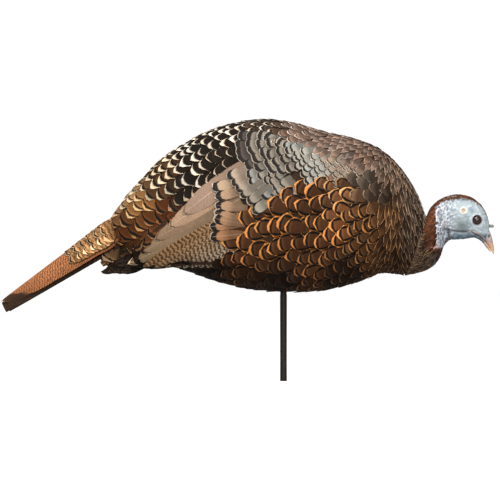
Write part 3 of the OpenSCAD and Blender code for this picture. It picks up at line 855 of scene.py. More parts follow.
def covert_vane(ground: Colour, band_w: float, edge: Colour = (0.48, 0.40, 0.31), edge_w: float = 1.3) -> Vane:
    """Returns a wing covert: smooth, with a dark bar inside a thin pale rim."""
    return Vane(ground, edge, edge_w, BLACK, band_w * 1.15, mottle=0.5, wrap=0.35)


SILVER: Colour = (0.36, 0.265, 0.19)
SLATE: Colour = (0.24, 0.20, 0.155)
SAGE: Colour = (0.28, 0.272, 0.235)
DUSK: Colour = (0.075, 0.056, 0.045)

COVERT_ROWS: list[CovertRow] = [
    CovertRow(
        ((0.322, 0.600), (0.330, 0.500), (0.316, 0.420), (0.310, 0.300)), 52, 7,
        Vane((0.42, 0.27, 0.165), (0.60, 0.45, 0.34), 2.2, BLACK, 8.0, mottle=0.5, wrap=0.30),
        Vane((0.30, 0.135, 0.06), (0.60, 0.45, 0.34), 2.2, BLACK, 9.0, mottle=0.5, wrap=0.30, shaft_w=1.2), 2.6, 30,
    ),
    CovertRow(
        ((0.364, 0.654), (0.387, 0.586), (0.416, 0.518), (0.450, 0.432)), 50, 6,
        Vane(SILVER, (0.54, 0.44, 0.32), 2.2, BLACK, 7.0, mottle=0.5, wrap=0.35),
        Vane((0.27, 0.235, 0.18), (0.54, 0.44, 0.32), 2.2, BLACK, 5.0, mottle=0.5, wrap=0.35, shaft_w=0.8), 2.6, 20,
    ),
] + [
    CovertRow(tips, length, count, covert_vane(ground, band_w), base=base)
    for ground, band_w, length, count, base, tips in (
        (DUSK, 6.0, 40, 5, 1.2, ((0.400, 0.905), (0.396, 0.829), (0.403, 0.759), (0.427, 0.680))),
        ((0.27, 0.25, 0.22), 4.5, 36, 6, 2.0, ((0.421, 0.672), (0.438, 0.596), (0.464, 0.544), (0.500, 0.472))),
        (SLATE, 6.0, 36, 5, 1.2, ((0.427, 0.911), (0.421, 0.831), (0.438, 0.747), (0.461, 0.680))),
        (SLATE, 5.5, 36, 5, 1.2, ((0.461, 0.911), (0.456, 0.831), (0.479, 0.726), (0.496, 0.674))),
        (SLATE, 3.6, 26, 6, 1.8, ((0.458, 0.662), (0.477, 0.600), (0.503, 0.531), (0.520, 0.485))),
        (SLATE, 5.5, 36, 6, 1.2, ((0.487, 0.905), (0.479, 0.862), (0.496, 0.747), (0.528, 0.654))),
        (SLATE, 3.2, 24, 6, 1.8, ((0.486, 0.665), (0.503, 0.600), (0.526, 0.545), (0.545, 0.505))),
        (SLATE, 5.0, 34, 5, 1.2, ((0.520, 0.868), (0.516, 0.835), (0.531, 0.747), (0.556, 0.670))),
        (SLATE, 3.0, 24, 5, 1.8, ((0.515, 0.660), (0.536, 0.600), (0.556, 0.560), (0.575, 0.530))),
        (SAGE, 4.0, 34, 8, 1.2, ((0.536, 0.836), (0.545, 0.779), (0.571, 0.716), (0.604, 0.633), (0.618, 0.590))),
        (SAGE, 3.2, 32, 8, 1.2, ((0.562, 0.820), (0.572, 0.770), (0.603, 0.690), (0.640, 0.610))),
        (SAGE, 2.6, 30, 7, 1.2, ((0.590, 0.795), (0.604, 0.742), (0.637, 0.664), (0.669, 0.605))),
        (SAGE, 2.0, 28, 7, 1.2, ((0.622, 0.760), (0.651, 0.690), (0.689, 0.622), (0.705, 0.600))),
        (SLATE, 1.8, 26, 6, 1.2, ((0.650, 0.745), (0.676, 0.690), (0.706, 0.635), (0.722, 0.610))),
        ((0.23, 0.17, 0.125), 1.6, 24, 6, 1.2, ((0.678, 0.742), (0.702, 0.692), (0.730, 0.640))),
        ((0.22, 0.155, 0.115), 1.4, 22, 5, 1.2, ((0.706, 0.735), (0.728, 0.690), (0.752, 0.650))),
        ((0.20, 0.13, 0.095), 1.4, 20, 5, 1.2, ((0.735, 0.725), (0.752, 0.690), (0.775, 0.650))),
    )
]


@dataclass
class WingPlumage:
    """The folded wing: barred primaries, long smooth blades, and rows of coverts over their roots."""

    sheet: Sheet
    plan: Plan
    blades: int = 5
    primaries: int = 10

    def _lay(
        self, root: Spot, tip: Spot, cut: dict[str, float], marks: np.ndarray, rng: np.random.Generator
    ) -> Feather:
        """Lays a feather between two spots of the plan."""
        ends = self.plan.at([root, tip])
        return lay(self.sheet, ends[0], ends[1], cut, vary(marks, rng, 0.10), rng.uniform())

    def blade_feathers(self, rng: np.random.Generator) -> list[Feather]:
        """Returns the long smooth feathers, the lowest first."""
        vane = Vane(
            (0.28, 0.175, 0.115), (0.60, 0.46, 0.33), 2.0, (0.13, 0.075, 0.042), 3.0,
            mottle=0.7, shaft_w=1.2, wrap=0.85,
        )
        low_vane = Vane(
            (0.22, 0.145, 0.078), (0.60, 0.46, 0.31), 2.8, (0.10, 0.06, 0.03), 3.5,
            mottle=0.8, shaft_w=1.2, wrap=0.80,
        )
        feathers = []
        for k in range(self.blades - 1, -1, -1):
            t = k / (self.blades - 1)
            root = between((0.430, 0.715), (0.400, 0.470), t)
            tip = between((0.226, 0.452), (0.047, 0.166), t)
            cut = dict(
                half=(16.5 - 2 * t) * MM, base=(3.3 - 2.3 * t) * MM, lift=1.3 * MM, rounding=0.13, taper=0.75,
                tip=0.62, camber=1.6 * MM, bend=3 * MM, ragged=0.006, shade=0.25, shown=90 * MM,
            )
            feathers.append(self._lay(root, tip, cut, blend_vanes(vane, low_vane, t), rng))
        return feathers

    def primary_feathers(self, rng: np.random.Generator) -> list[Feather]:
        """Returns the barred feathers under the blades, fanned to the wing's lower edge."""
        brown = Vane((0.085, 0.040, 0.016), (0.44, 0.29, 0.16), 0.9, (0.34, 0.195, 0.085), 0, 0.85, 7.5, 0.8, 0.8, 0.9)
        white = Vane((0.035, 0.024, 0.016), (0.56, 0.46, 0.34), 1.1, (0.50, 0.41, 0.31), 0, 0.9, 6.5, 0.6, 0.6, 0.9)
        feathers = []
        for k in range(self.primaries - 1, -1, -1):
            t = k / (self.primaries - 1)
            root = between((0.400, 0.455), (0.432, 0.215), t)
            tip = between((0.095, 0.150), (0.350, 0.150), t**0.85)
            cut = dict(
                half=(10.5 - 3 * t) * MM, base=(1.9 - 1.6 * t) * MM, lift=0.9 * MM, rounding=0.10, taper=0.7,
                tip=0.55, camber=1.5 * MM, bend=2 * MM, ragged=0.008, shade=0.1, shown=90 * MM,
            )
            feathers.append(self._lay(root, tip, cut, blend_vanes(brown, white, t), rng))
        return feathers

    def covert_feathers(self, row: CovertRow, rng: np.random.Generator) -> list[Feather]:
        """Returns one row of coverts, set square to the line of their tips."""
        line = self.plan.at(list(row.tips))
        at = (np.arange(row.count) + 0.5) / row.count
        tips = smooth_curve(line, at)
        ends = smooth_curve(line, np.clip(np.stack([at - 0.05, at + 0.05], 1).ravel(), 0, 1)).reshape(-1, 2, 2)
        spacing = float(np.linalg.norm(np.diff(line, axis=0), axis=1).sum()) / row.count
        feathers = []
        for k in range(row.count):
            way = unit(ends[k, 1] - ends[k, 0])
            back = np.array([way[1], -way[0]])
            tip = tips[k] + back * rng.normal(0, 1.3) * MM
            root = tip - (back + way * rng.normal(0, 0.06)) * row.length * MM
            marks = blend_vanes(row.vane, row.last_vane or row.vane, float(at[k]))
            cut = dict(
                half=spacing * 0.66, base=row.base * MM, lift=0.07 * row.length * MM, rounding=0.11, taper=0.6,
                tip=0.9, camber=0.45 * MM, ragged=0.012, shown=row.shown * MM,
            )
            feathers.append(lay(self.sheet, root, tip, cut, vary(marks, rng, 0.10), rng.uniform()))
        return feathers

    def dress(self, side: Side, rng: np.random.Generator, material: bpy.types.Material) -> None:
        """Sews one side's wing into pieces.

        Args:
            side: Which side.
            rng: The side's own source of chance.
            material: The plumage finish.
        """
        word = side.name.lower()
        slot = "wing_plumage"
        Coat(f"wing_primaries_{word}", side, self.primary_feathers(rng), self.sheet, slot, rows=18).build(material)
        blades = self.blade_feathers(rng)
        Coat(f"wing_blades_{word}", side, blades, self.sheet, slot, rows=18, columns=9).build(material)
        for part in range(4):
            rows = COVERT_ROWS[part * 5 : part * 5 + 5]
            feathers = [f for row in rows for f in self.covert_feathers(row, rng)]
            Coat(f"wing_coverts_{word}_{part + 1}", side, feathers, self.sheet, slot).build(material)


@dataclass
class TailPlumage:
    """The folded tail: stacked long feathers with dark ends, and short coverts over their roots."""

    top: Sheet
    under: Sheet
    length: float
    half_width: float
    long_feathers: int = 7

    def long_set(self, skin: Sheet, vane: Vane, outer: Vane, drop: float, rng: np.random.Generator) -> list[Feather]:
        """Returns both sides' long feathers on one face of the fan, the middle ones on top.

        Args:
            skin: The face that they lie on.
            vane: The middle feathers' marks.
            outer: The outermost feathers' marks.
            drop: How far all of them are let down, in metres.
            rng: The tail's source of chance.
        """
        feathers = []
        for k in range(self.long_feathers - 1, -1, -1):
            t = k / (self.long_feathers - 1)
            for sign in (-1, 1):
                root = np.array([0.0, sign * 0.62 * self.half_width * t])
                reach = self.length * (1 - 0.035 * t - 0.02 * rng.uniform())
                tip = np.array([-reach, sign * (0.08 + 0.66 * t) * self.half_width])
                cut = dict(
                    half=0.36 * self.half_width, base=(3.2 - 2.6 * t) * MM - drop, lift=0.6 * MM, rounding=0.05,
                    taper=0.8, tip=0.5, camber=1.3 * MM, bend=sign * 1.5 * MM, ragged=0.004, shade=0.1, shown=150 * MM,
                )
                marks = vary(blend_vanes(vane, outer, t), rng, 0.10)
                feathers.append(lay(skin, root, tip, cut, marks, rng.uniform()))
        return feathers

    def covert_set(self, rng: np.random.Generator) -> list[Feather]:
        """Returns the rows of short tan feathers over the tail's root."""
        vane = Vane(
            (0.56, 0.28, 0.11), (0.80, 0.52, 0.27), 2.4, BLACK, 3.0, bars=0.6, bar_pitch=8, mottle=0.7, wrap=0.4
        )
        feathers = []
        for row, at in enumerate((-0.30, -0.235, -0.175, -0.115, -0.055, 0.0)):
            count = 5 + row % 2
            for k in range(count):
                share = (k + 0.5) / count * 2 - 1
                tip = np.array([at * self.length - 30 * MM, share * (0.72 - 0.03 * row) * self.half_width])
                root = np.array([at * self.length + 18 * MM, share * 0.5 * self.half_width])
                cut = dict(half=8.5 * MM, base=(2.6 + 0.25 * row) * MM, lift=2.4 * MM, rounding=0.3, camber=0.8 * MM)
                feathers.append(lay(self.top, root, tip, cut, vary(vane.row(), rng), rng.uniform()))
        return feathers

    def dress(self, rng: np.random.Generator, material: bpy.types.Material) -> None:
        """Sews the tail's pieces.

        Args:
            rng: The tail's source of chance.
            material: The plumage finish.
        """
        rust = Vane(
            (0.40, 0.150, 0.058), (0.42, 0.26, 0.15), 1.0, (0.060, 0.028, 0.015), 16.0, 0.75, 5.2, 0.8, 0.7, 0.25
        )
        edge = Vane(
            (0.32, 0.115, 0.043), (0.30, 0.16, 0.08), 1.2, (0.030, 0.016, 0.010), 30.0, 0.75, 4.8, 0.8, 0.6, 0.25
        )
        dark = Vane(
            (0.018, 0.012, 0.009), (0.16, 0.075, 0.035), 1.2, (0.05, 0.024, 0.013), 0.0, 0.6, 6.0, 0.5, 0.8, 0.9
        )
        feathers = self.long_set(self.top, rust, edge, 0.0, rng)
        Coat("tail_feathers", Side.RIGHT, feathers, self.top, "tail_plumage", rows=30, columns=9).build(material)
        feathers = self.long_set(self.under, dark, dark, 1.0 * MM, rng)
        Coat("tail_feathers_under", Side.RIGHT, feathers, self.under, "tail_plumage", rows=24).build(material)
        Coat("tail_coverts", Side.RIGHT, self.covert_set(rng), self.top, "tail_plumage").build(material)


@dataclass
class UndertailPlumage:
    """Stiff black feathers in ragged rows on the wedge under the tail."""

    sheet: Sheet
    box: tuple[Vector, Vector]
    rows: int = 5
    per_row: int = 4

    def dress(self, side: Side, rng: np.random.Generator, material: bpy.types.Material) -> None:
        """Sews one side's feathers.

        Args:
            side: Which side.
            rng: The side's own source of chance.
            material: The plumage finish.
        """
        vane = Vane(
            (0.010, 0.007, 0.006), (0.10, 0.055, 0.028), 0.9, (0.06, 0.035, 0.018), 0.0, 0.3, 6.0, 0.6, 0.6, 0.9
        )
        low, high = self.box
        feathers = []
        for row in range(self.rows):
            for k in range(self.per_row):
                start = (row + 0.35 * rng.uniform()) / self.rows
                level = (k + 0.3 + 0.4 * rng.uniform()) / self.per_row
                root = np.array([low.x + (high.x - low.x) * (start + 0.35), low.z + (high.z - low.z) * level])
                fall = math.radians(rng.uniform(8, 26))
                reach = rng.uniform(26, 36) * MM
                tip = root + reach * np.array([-math.cos(fall), -math.sin(fall)])
                tip[1] = max(tip[1], low.z - 3 * MM)
                cut = dict(
                    half=5.5 * MM, base=(0.5 + 0.5 * row) * MM, lift=2.2 * MM, rounding=0.12, tip=0.45, camber=0.8 * MM,
                    ragged=0.05,
                )
                feathers.append(lay(self.sheet, root, tip, cut, vary(vane.row(), rng), rng.uniform()))
        Coat(f"undertail_feathers_{side.name.lower()}", side, feathers, self.sheet, "undertail_plumage").build(material)


# ---- Head ---------------------------------------------------------------------------------------


def ring_faces(rings: int, steps: int) -> list[list[int]]:
    """Returns the faces of closed rings joined end to end, with a flat face at each end."""
    faces = []
    for i in range(rings - 1):
        for j in range(steps):
            k = (j + 1) % steps
            faces.append([i * steps + j, (i + 1) * steps + j, (i + 1) * steps + k, i * steps + k])
    faces.append(list(range(steps)))
    faces.append([(rings - 1) * steps + j for j in range(steps - 1, -1, -1)])
    return faces


def outward(points: np.ndarray, rings: int, steps: int) -> list[list[int]]:
    """Returns the faces of closed rings, turned so that they look outwards."""
    faces = ring_faces(rings, steps)
    a, b, c = (points[i] for i in faces[rings * steps // 2][:3])
    middle = points.reshape(rings, steps, 3)[rings // 2].mean(0)
    if np.dot(np.cross(b - a, c - b), a - middle) < 0:
        faces = [face[::-1] for face in faces]
    return faces


@dataclass
class RingedPiece:
    """A closed, painted piece of the head, made of rings, that stands in for a CAD node."""

    name: str
    slot: str
    node: str

    def build(
        self, points: np.ndarray, shape: tuple[int, int], paint: np.ndarray, material: bpy.types.Material
    ) -> bpy.types.Object:
        """Makes the piece.

        Args:
            points: Rows of x, y and z, ring by ring.
            shape: How many rings there are, and how many points each has.
            paint: Rows of linear colour, one for each point.
            material: The piece's finish.

        Returns:
            The piece.
        """
        faces = outward(points, *shape)
        mesh = bpy.data.meshes.new(self.name)
        mesh.from_pydata(points.tolist(), [], faces)
        mesh.polygons.foreach_set("use_smooth", [True] * len(mesh.polygons))
        piece = bpy.data.objects.new(self.name, mesh)
        bpy.context.scene.collection.objects.link(piece)
        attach(piece, "head")
        layer = mesh.attributes.new("paint", "FLOAT_VECTOR", "POINT")
        layer.data.foreach_set("vector", paint.astype(np.float32).ravel())
        mesh.materials.append(material)
        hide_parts(self.node)
        log.info("%s: %d faces", self.name, len(faces))
        return piece


def near(points: np.ndarray, x: float, z: float, reach: float) -> np.ndarray:
    """Returns 1 at a spot of the side plan, falling to 0 at its reach. All are in millimetres."""
    gap = np.hypot(points[:, 0] / MM - x, points[:, 2] / MM - z)
    return 1 - smoothstep(0, reach, gap)


def near_line(points: np.ndarray, spots: list[Spot], reach: float) -> np.ndarray:
    """Returns 1 on a line of the side plan, falling to 0 at its reach. All are in millimetres."""
    place = points[:, [0, 2]] / MM
    gap = np.full(len(place), 1e9)
    for a, b in zip(np.array(spots[:-1], float), np.array(spots[1:], float)):
        way = b - a
        t = np.clip(((place - a) @ way) / (way @ way), 0, 1)
        gap = np.minimum(gap, np.linalg.norm(place - a - t[:, None] * way, axis=1))
    return 1 - smoothstep(0, reach, gap)


def rough(points: np.ndarray, size: float, seed: float = 0.0) -> np.ndarray:
    """Returns smooth noise from -1 to 1 at points, with lumps of a size in millimetres."""
    shift = Vector((seed, seed * 1.7, seed * 0.6))
    return np.array([noise.noise(Vector(p / (size * MM)) + shift) for p in points])


def wrinkles(points: np.ndarray) -> np.ndarray:
    """Returns 1 on the ridges of a wavy skin and 0 in its hollows."""
    return np.clip(1 - 2.6 * np.abs(rough(points * np.array([1.0, 1.0, 0.75]), 4.6, 77.0)), 0, 1)


@dataclass
class Head:
    """The bare wrinkled head with its rust neck: one closed skin, carved and painted by point."""

    skin: Envelope
    eye: tuple[float, float]
    lid: float = 8.0

    def _carve(self, points: np.ndarray, out: np.ndarray) -> np.ndarray:
        """Presses creases into the skin and raises folds.

        Args:
            points: The smooth skin's points.
            out: Its outward directions.

        Returns:
            The carved points.
        """
        x, z = self.eye
        gap = np.hypot(points[:, 0] / MM - x, points[:, 2] / MM - z)
        side = smoothstep(0.2, 0.6, np.abs(out[:, 1]))
        rise = 1.1 * np.exp(-(((gap - self.lid) / 1.3) ** 2)) * side
        rise += 0.5 * np.exp(-(((gap - self.lid - 3.2) / 0.9) ** 2)) * side
        rise -= 5.5 * (1 - smoothstep(6.2, 7.4, gap)) * side
        ear = np.hypot(points[:, 0] / MM - (x - 21.6), points[:, 2] / MM - (z + 15))
        rise += (0.9 * np.exp(-(((ear - 4.6) / 1.3) ** 2)) - 1.3 * (1 - smoothstep(0, 3.8, ear))) * side
        bare = smoothstep(240, 246, points[:, 0] / MM)
        lumps = rough(points, 5.0) * 0.55 + rough(points, 2.4, 5.0) * 0.35
        folds = np.abs(rough(points * np.array([1.0, 1.0, 2.2]), 7.5, 9.0))
        warts = 1 - smoothstep(256, 276, points[:, 0] / MM)
        rise += bare * (0.35 + 0.9 * warts) * (lumps * 1.3 - 1.5 * (1 - smoothstep(0.0, 0.16, folds)) + 0.3)
        rise += bare * warts * 1.5 * (wrinkles(points) - 0.5)
        rise -= 1.6 * near_line(points, [(258, 247), (268, 240), (284, 237), (300, 240)], 2.4) * side
        rise += 1.0 * near_line(points, [(262, 233), (276, 231), (292, 232), (303, 234)], 4.5) * side
        rise -= 1.8 * near_line(points, [(299, 238), (309, 232), (318, 226)], 1.8) * side
        rise += 0.9 * near_line(points, [(300, 244), (310, 239), (320, 233)], 4.0) * side
        rise += 0.8 * near_line(points, [(286, 286), (304, 279), (318, 268)], 5.0)
        return points + out * (rise * MM)[:, None]

    def _paint(self, points: np.ndarray, out: np.ndarray, round_: np.ndarray) -> np.ndarray:
        """Returns the skin's colour at each point: blue-white face, dark lids, grey throat, rust neck, with painted
        shade in the carved wrinkles, folds and crease and painted highlight on the wrinkle ridges.

        Args:
            points: The carved points.
            out: The smooth skin's outward directions.
            round_: Shares of the way from the crown to the throat.

        Returns:
            Rows of linear colour.
        """
        x, z = points[:, 0] / MM, points[:, 2] / MM
        ex, ez = self.eye
        gap = np.hypot(x - ex, z - ez)
        side = smoothstep(0.2, 0.6, np.abs(out[:, 1]))
        paint = np.tile(np.array([0.35, 0.40, 0.42]), (len(points), 1))

        def lay_on(colour: Colour, share: np.ndarray) -> None:
            """Lays a colour over the paint.

            Args:
                colour: The colour.
                share: Each point's share of it.
            """
            nonlocal paint
            share = np.clip(share, 0, 1)[:, None]
            paint = paint * (1 - share) + np.array(colour) * share

        lay_on((0.18, 0.25, 0.30), 0.75 * smoothstep(-0.15, 0.5, rough(points, 8.0, 2.0)))
        lay_on((0.50, 0.56, 0.57), 0.8 * smoothstep(0.05, 0.4, rough(points, 6.0, 12.0)))
        lay_on((0.10, 0.125, 0.12), 0.85 * near(points, 284, 248, 20) * side)
        patchy = smoothstep(-0.2, 0.3, rough(points, 5.0, 61.0))
        lay_on((0.20, 0.25, 0.27), 0.5 * near(points, 272, 262, 16) * side * patchy)
        lay_on((0.035, 0.07, 0.10), 0.92 * (1 - smoothstep(232, 238, z)) * smoothstep(262, 268, x))
        patchy = smoothstep(-0.1, 0.4, rough(points, 7.0, 3.0))
        lay_on((0.20, 0.29, 0.34), 0.55 * (1 - smoothstep(231, 236, z)) * patchy)
        lay_on((0.62, 0.46, 0.42), 0.6 * near_line(points, [(300, 240), (312, 234), (322, 225)], 3.0) * side)
        warts = (1 - smoothstep(256, 272, x)) * smoothstep(0.0, 0.3, rough(points, 4.2, 31.0))
        lay_on((0.80, 0.78, 0.80), 0.9 * warts)
        patchy = smoothstep(0.05, 0.35, rough(points, 3.6, 44.0))
        lay_on((0.24, 0.17, 0.22), 0.8 * (1 - smoothstep(254, 266, x)) * patchy)
        fade = (1 - smoothstep(262, 280, x)) * (0.35 + 0.65 * smoothstep(-0.2, 0.3, rough(points, 9.0, 15.0)))
        ridges = wrinkles(points)
        # Painted shade in the hollows of the carved wrinkles, and painted highlight on their ridges.
        lay_on((0.050, 0.070, 0.105), 0.85 * (1 - smoothstep(0.05, 0.45, ridges)) * fade)
        lay_on((0.74, 0.77, 0.82), 0.9 * smoothstep(0.62, 0.9, ridges) * fade)
        ear = np.hypot(x - ex + 21.6, z - ez - 15)
        lay_on((0.80, 0.76, 0.68), 0.8 * np.exp(-(((ear - 5.0) / 1.4) ** 2)) * side)
        lay_on((0.50, 0.34, 0.20), 0.95 * (1 - smoothstep(2.2, 4.2, ear)) * side)
        lay_on((0.035, 0.02, 0.02), 0.97 * (1 - smoothstep(7.4, 9.0, gap)) * side)
        lay_on((0.55, 0.60, 0.62), 0.6 * np.exp(-(((gap - 10.4) / 0.9) ** 2)) * side)
        # Painted shade in the grooves of the carved folds.
        folds = np.abs(rough(points * np.array([1.0, 1.0, 2.2]), 7.5, 9.0))
        lay_on((0.10, 0.13, 0.17), 0.75 * (1 - smoothstep(0.0, 0.12, folds)) * (1 - smoothstep(258, 280, x)))
        # Painted shade along the carved crease.
        crease = near_line(points, [(257, 244), (268, 240), (284, 240), (296, 238)], 3.6)
        lay_on((0.06, 0.065, 0.08), 0.92 * crease * side)
        lay_on((0.05, 0.045, 0.055), 0.9 * near_line(points, [(262, 243), (264, 230), (258, 222)], 4.5))
        lay_on((0.05, 0.028, 0.026), 0.95 * near_line(points, [(300, 238.5), (313, 232.5), (323, 223.5)], 2.0) * side)
        lay_on((0.045, 0.022, 0.022), 0.9 * near_line(points, [(326.5, 234.5), (329, 228.5)], 2.8) * side)
        crown = 1 - smoothstep(0.09, 0.17, round_ + 0.06 * rough(points, 3.5, 1.0) + 0.03 * smoothstep(285, 310, x))
        lay_on((0.085, 0.050, 0.033), 0.9 * crown)
        neck = 1 - smoothstep(239, 243, x + 3.0 * rough(points, 6.0, 21.0))
        neck = np.maximum(neck, 1 - smoothstep(211, 217, z + 0.15 * (x - 240) + 3.0 * rough(points, 5.0, 71.0)))
        lay_on((0.095, 0.030, 0.013), neck)
        lay_on((0.035, 0.022, 0.015), np.maximum(1 - smoothstep(221, 226, x), neck * (1 - smoothstep(205, 213, z))))
        lay_on((0.62, 0.42, 0.38), 0.9 * near_line(points, [(235, 212), (245, 216)], 3.6) * side)
        return paint

    def build(self, material: bpy.types.Material) -> bpy.types.Object:
        """Makes the skin and stands it in for the CAD head.

        Args:
            material: The head's finish.

        Returns:
            The piece.
        """
        right = self.skin.points[self.skin.rings // 8 :]
        whole = np.concatenate([right, right[:, ::-1] * np.array([1.0, -1.0, 1.0])], 1)
        rings, steps = whole.shape[:2]
        across = np.roll(whole, -1, 1) - np.roll(whole, 1, 1)
        out = unit(np.cross(np.gradient(whole, axis=0), across))
        centre = whole.mean(1, keepdims=True)
        out *= np.sign((out * (whole - centre)).sum(-1).mean())
        points = self._carve(whole.reshape(-1, 3), out.reshape(-1, 3))
        share = np.linspace(0, 1, right.shape[1])
        round_ = np.tile(np.concatenate([share, share[::-1]]), rings)
        paint = self._paint(points, out.reshape(-1, 3), round_)
        return RingedPiece("head_skin", "head_skin", "head_shell").build(points, (rings, steps), paint, material)


@dataclass
class NeckPlumage:
    """Small hair-like rust feathers on the neck and along the crown."""

    skin: Envelope
    count: int = 1500

    def dress(self, side: Side, rng: np.random.Generator, material: bpy.types.Material) -> None:
        """Sews one side's feathers.

        Args:
            side: Which side.
            rng: The side's own source of chance.
            material: The plumage finish.
        """
        rust = Vane((0.12, 0.040, 0.017), (0.25, 0.10, 0.05), 0.6, wrap=0.95, mottle=0.5, shaft_w=0.25)
        dark = Vane((0.030, 0.010, 0.005), (0.09, 0.032, 0.015), 0.5, wrap=0.95, mottle=0.5, shaft_w=0.2)
        streak = streak_vane((0.022, 0.013, 0.008), (0.26, 0.165, 0.10), 0.8)
        seam = 90
        along = np.concatenate([np.full(seam, 0.15), np.sort(rng.uniform(0.155, 0.90, self.count - seam))])
        round_ = np.concatenate([np.linspace(0.005, 0.995, seam), rng.uniform(0.01, 0.99, self.count - seam)])
        point, back, down, out = self.skin.read(along, round_)
        start = self.skin.read(np.full(self.count, 0.125), round_)[0]
        feathers = []
        for k in range(self.count):
            x, z = point[k, 0] / MM, point[k, 2] / MM
            crown = round_[k] < 0.11 - 0.03 * (x > 290) and x < 318
            if x > 241 + rng.normal(0, 1.2) and not crown and z > 213 + rng.normal(0, 1.5):
                continue
            if math.hypot((x - 240) / 6, (z - 214) / 3) < 1:
                continue
            tone = float(np.clip(0.35 + (z - 225) / 70 - 0.5 * crown + rng.normal(0, 0.3), 0, 1))
            low = x < 223 or (z < 209 and x < 240)
            length = (rng.uniform(12, 15) if low else rng.uniform(7, 10)) * MM
            length = min(length, 7.5 * MM + float(np.linalg.norm(point[k] - start[k])))
            tilt = rng.normal(0, 0.16)
            aim = unit(back[k] * math.cos(tilt) + down[k] * math.sin(tilt))
            half = (3.2 if low else 1.6) * MM
            cut = Cut(length, half, 1.0 * MM, 0.2 * MM, 0.3, 0.5, 0.45, 0.25 * MM)
            marks = vary(streak.row() if low else blend_vanes(dark, rust, tone), rng, 0.2)
            feathers.append(Feather(point[k] - aim * 3 * MM, aim, np.cross(out[k], aim), cut, marks, rng.uniform()))
        word = side.name.lower()
        sizes = dict(rows=6, columns=5, thick=0.12 * MM)
        Coat(f"neck_plumage_{word}", side, feathers, self.skin, "head_skin", "head", **sizes).build(material)


@dataclass
class Beak:
    """One half of the beak: ovals set along a hooked line, with nostrils in the upper one."""

    name: str
    stations: list[tuple[float, float, float, float, float]]
    node: str
    nostril: tuple[float, float, float] | None = None
    rings: int = 40
    steps: int = 48

    def build(self, material: bpy.types.Material) -> bpy.types.Object:
        """Makes the mesh and stands it in for its CAD node.

        Args:
            material: The horn finish.

        Returns:
            The piece.
        """
        rows = smooth_curve(np.array(self.stations), np.linspace(0, 1, self.rings)) * MM
        turn = np.linspace(0, 2 * math.pi, self.steps, endpoint=False)
        ridge, mouth, half = rows[:, 0:2], rows[:, 2:4], rows[:, 4]
        centre, up = (ridge + mouth) / 2, (ridge - mouth) / 2
        lobe = np.sign(np.cos(turn)) * np.abs(np.cos(turn)) ** 0.9
        points = np.zeros((self.rings, self.steps, 3))
        points[..., 0] = centre[:, None, 0] + up[:, None, 0] * lobe
        points[..., 2] = centre[:, None, 1] + up[:, None, 1] * lobe
        points[..., 1] = half[:, None] * np.sin(turn)
        flat = points.reshape(-1, 3)
        sense = np.sign(flat[:, 1])
        if self.nostril:
            x, z, size = self.nostril
            hole = 1 - smoothstep(size * 0.35, size, np.hypot((flat[:, 0] / MM - x) * 1.6, flat[:, 2] / MM - z))
            rim = near(flat, x, z, size * 2.2) - hole
            flat[:, 1] -= sense * (hole * 2.4 - np.clip(rim, 0, 1) * 0.5) * MM
        flat = flat + 0.12 * MM * np.stack([rough(flat, 2.0, k) for k in (0.0, 4.0, 8.0)], 1)
        shape = (self.rings, self.steps)
        return RingedPiece(self.name, "beak_horn", self.node).build(flat, shape, self._paint(flat), material)

    def _paint(self, points: np.ndarray) -> np.ndarray:
        """Returns the horn's colour: blue-grey base, pink middle, orange and yellow tip, with painted shade in the
        nostril.
        """
        fall = (242 - points[:, 2] / MM) / 40 + 0.10 * rough(points, 4.0, 3.0)
        stops = np.array([0.0, 0.30, 0.5, 0.72, 0.9, 1.1])
        tones = np.array([
            (0.36, 0.40, 0.42), (0.34, 0.30, 0.29), (0.42, 0.27, 0.22),
            (0.62, 0.36, 0.18), (0.72, 0.50, 0.24), (0.60, 0.46, 0.26),
        ])
        paint = np.stack([np.interp(fall, stops, tones[:, k]) for k in range(3)], 1)
        # Painted shade inside the carved nostril hole.
        if self.nostril:
            x, z, size = self.nostril
            dark = near(points, x, z, size * 0.9)[:, None]
            paint = paint * (1 - dark) + np.array([0.03, 0.02, 0.02]) * dark
        return paint


@dataclass
class Snood:
    """The short fleshy peg over the beak, with a wrinkled skin."""

    length: float = 11.0
    steps: int = 28
    rings: int = 30

    def build(self, material: bpy.types.Material) -> bpy.types.Object:
        """Makes the snood round its CAD node's axis and stands it in for the node.

        Args:
            material: The snood's finish.

        Returns:
            The piece.
        """
        low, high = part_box("snood")
        tip = np.array([high.x, 0.0, low.z + 2.6 * MM])
        aim = unit(np.array([math.sin(math.radians(94)), 0.0, math.cos(math.radians(94))]))
        side, up = np.array([0.0, 1.0, 0.0]), np.cross(aim, np.array([0.0, 1.0, 0.0]))
        points = []
        for i in range(self.rings):
            t = i / (self.rings - 1)
            round_end = math.sqrt(max(1 - max((t - 0.72) / 0.28, 0) ** 2, 0.02))
            width = (2.5 + 0.22 * math.sin(t * 34)) * round_end * MM
            spot = tip - aim * self.length * (1 - t) * MM
            for j in range(self.steps):
                turn = 2 * math.pi * j / self.steps
                ripple = 1 + 0.05 * math.sin(5 * turn + 9 * t)
                points.append(spot + (side * math.cos(turn) + up * math.sin(turn)) * width * ripple)
        points = np.array(points)
        tones = np.array([0.20, 0.215, 0.19]) + 0.08 * rough(points, 2.0)[:, None]
        shape = (self.rings, self.steps)
        return RingedPiece("snood_flesh", "head_skin", "snood").build(points, shape, tones, material)


# ---- Finishes -----------------------------------------------------------------------------------


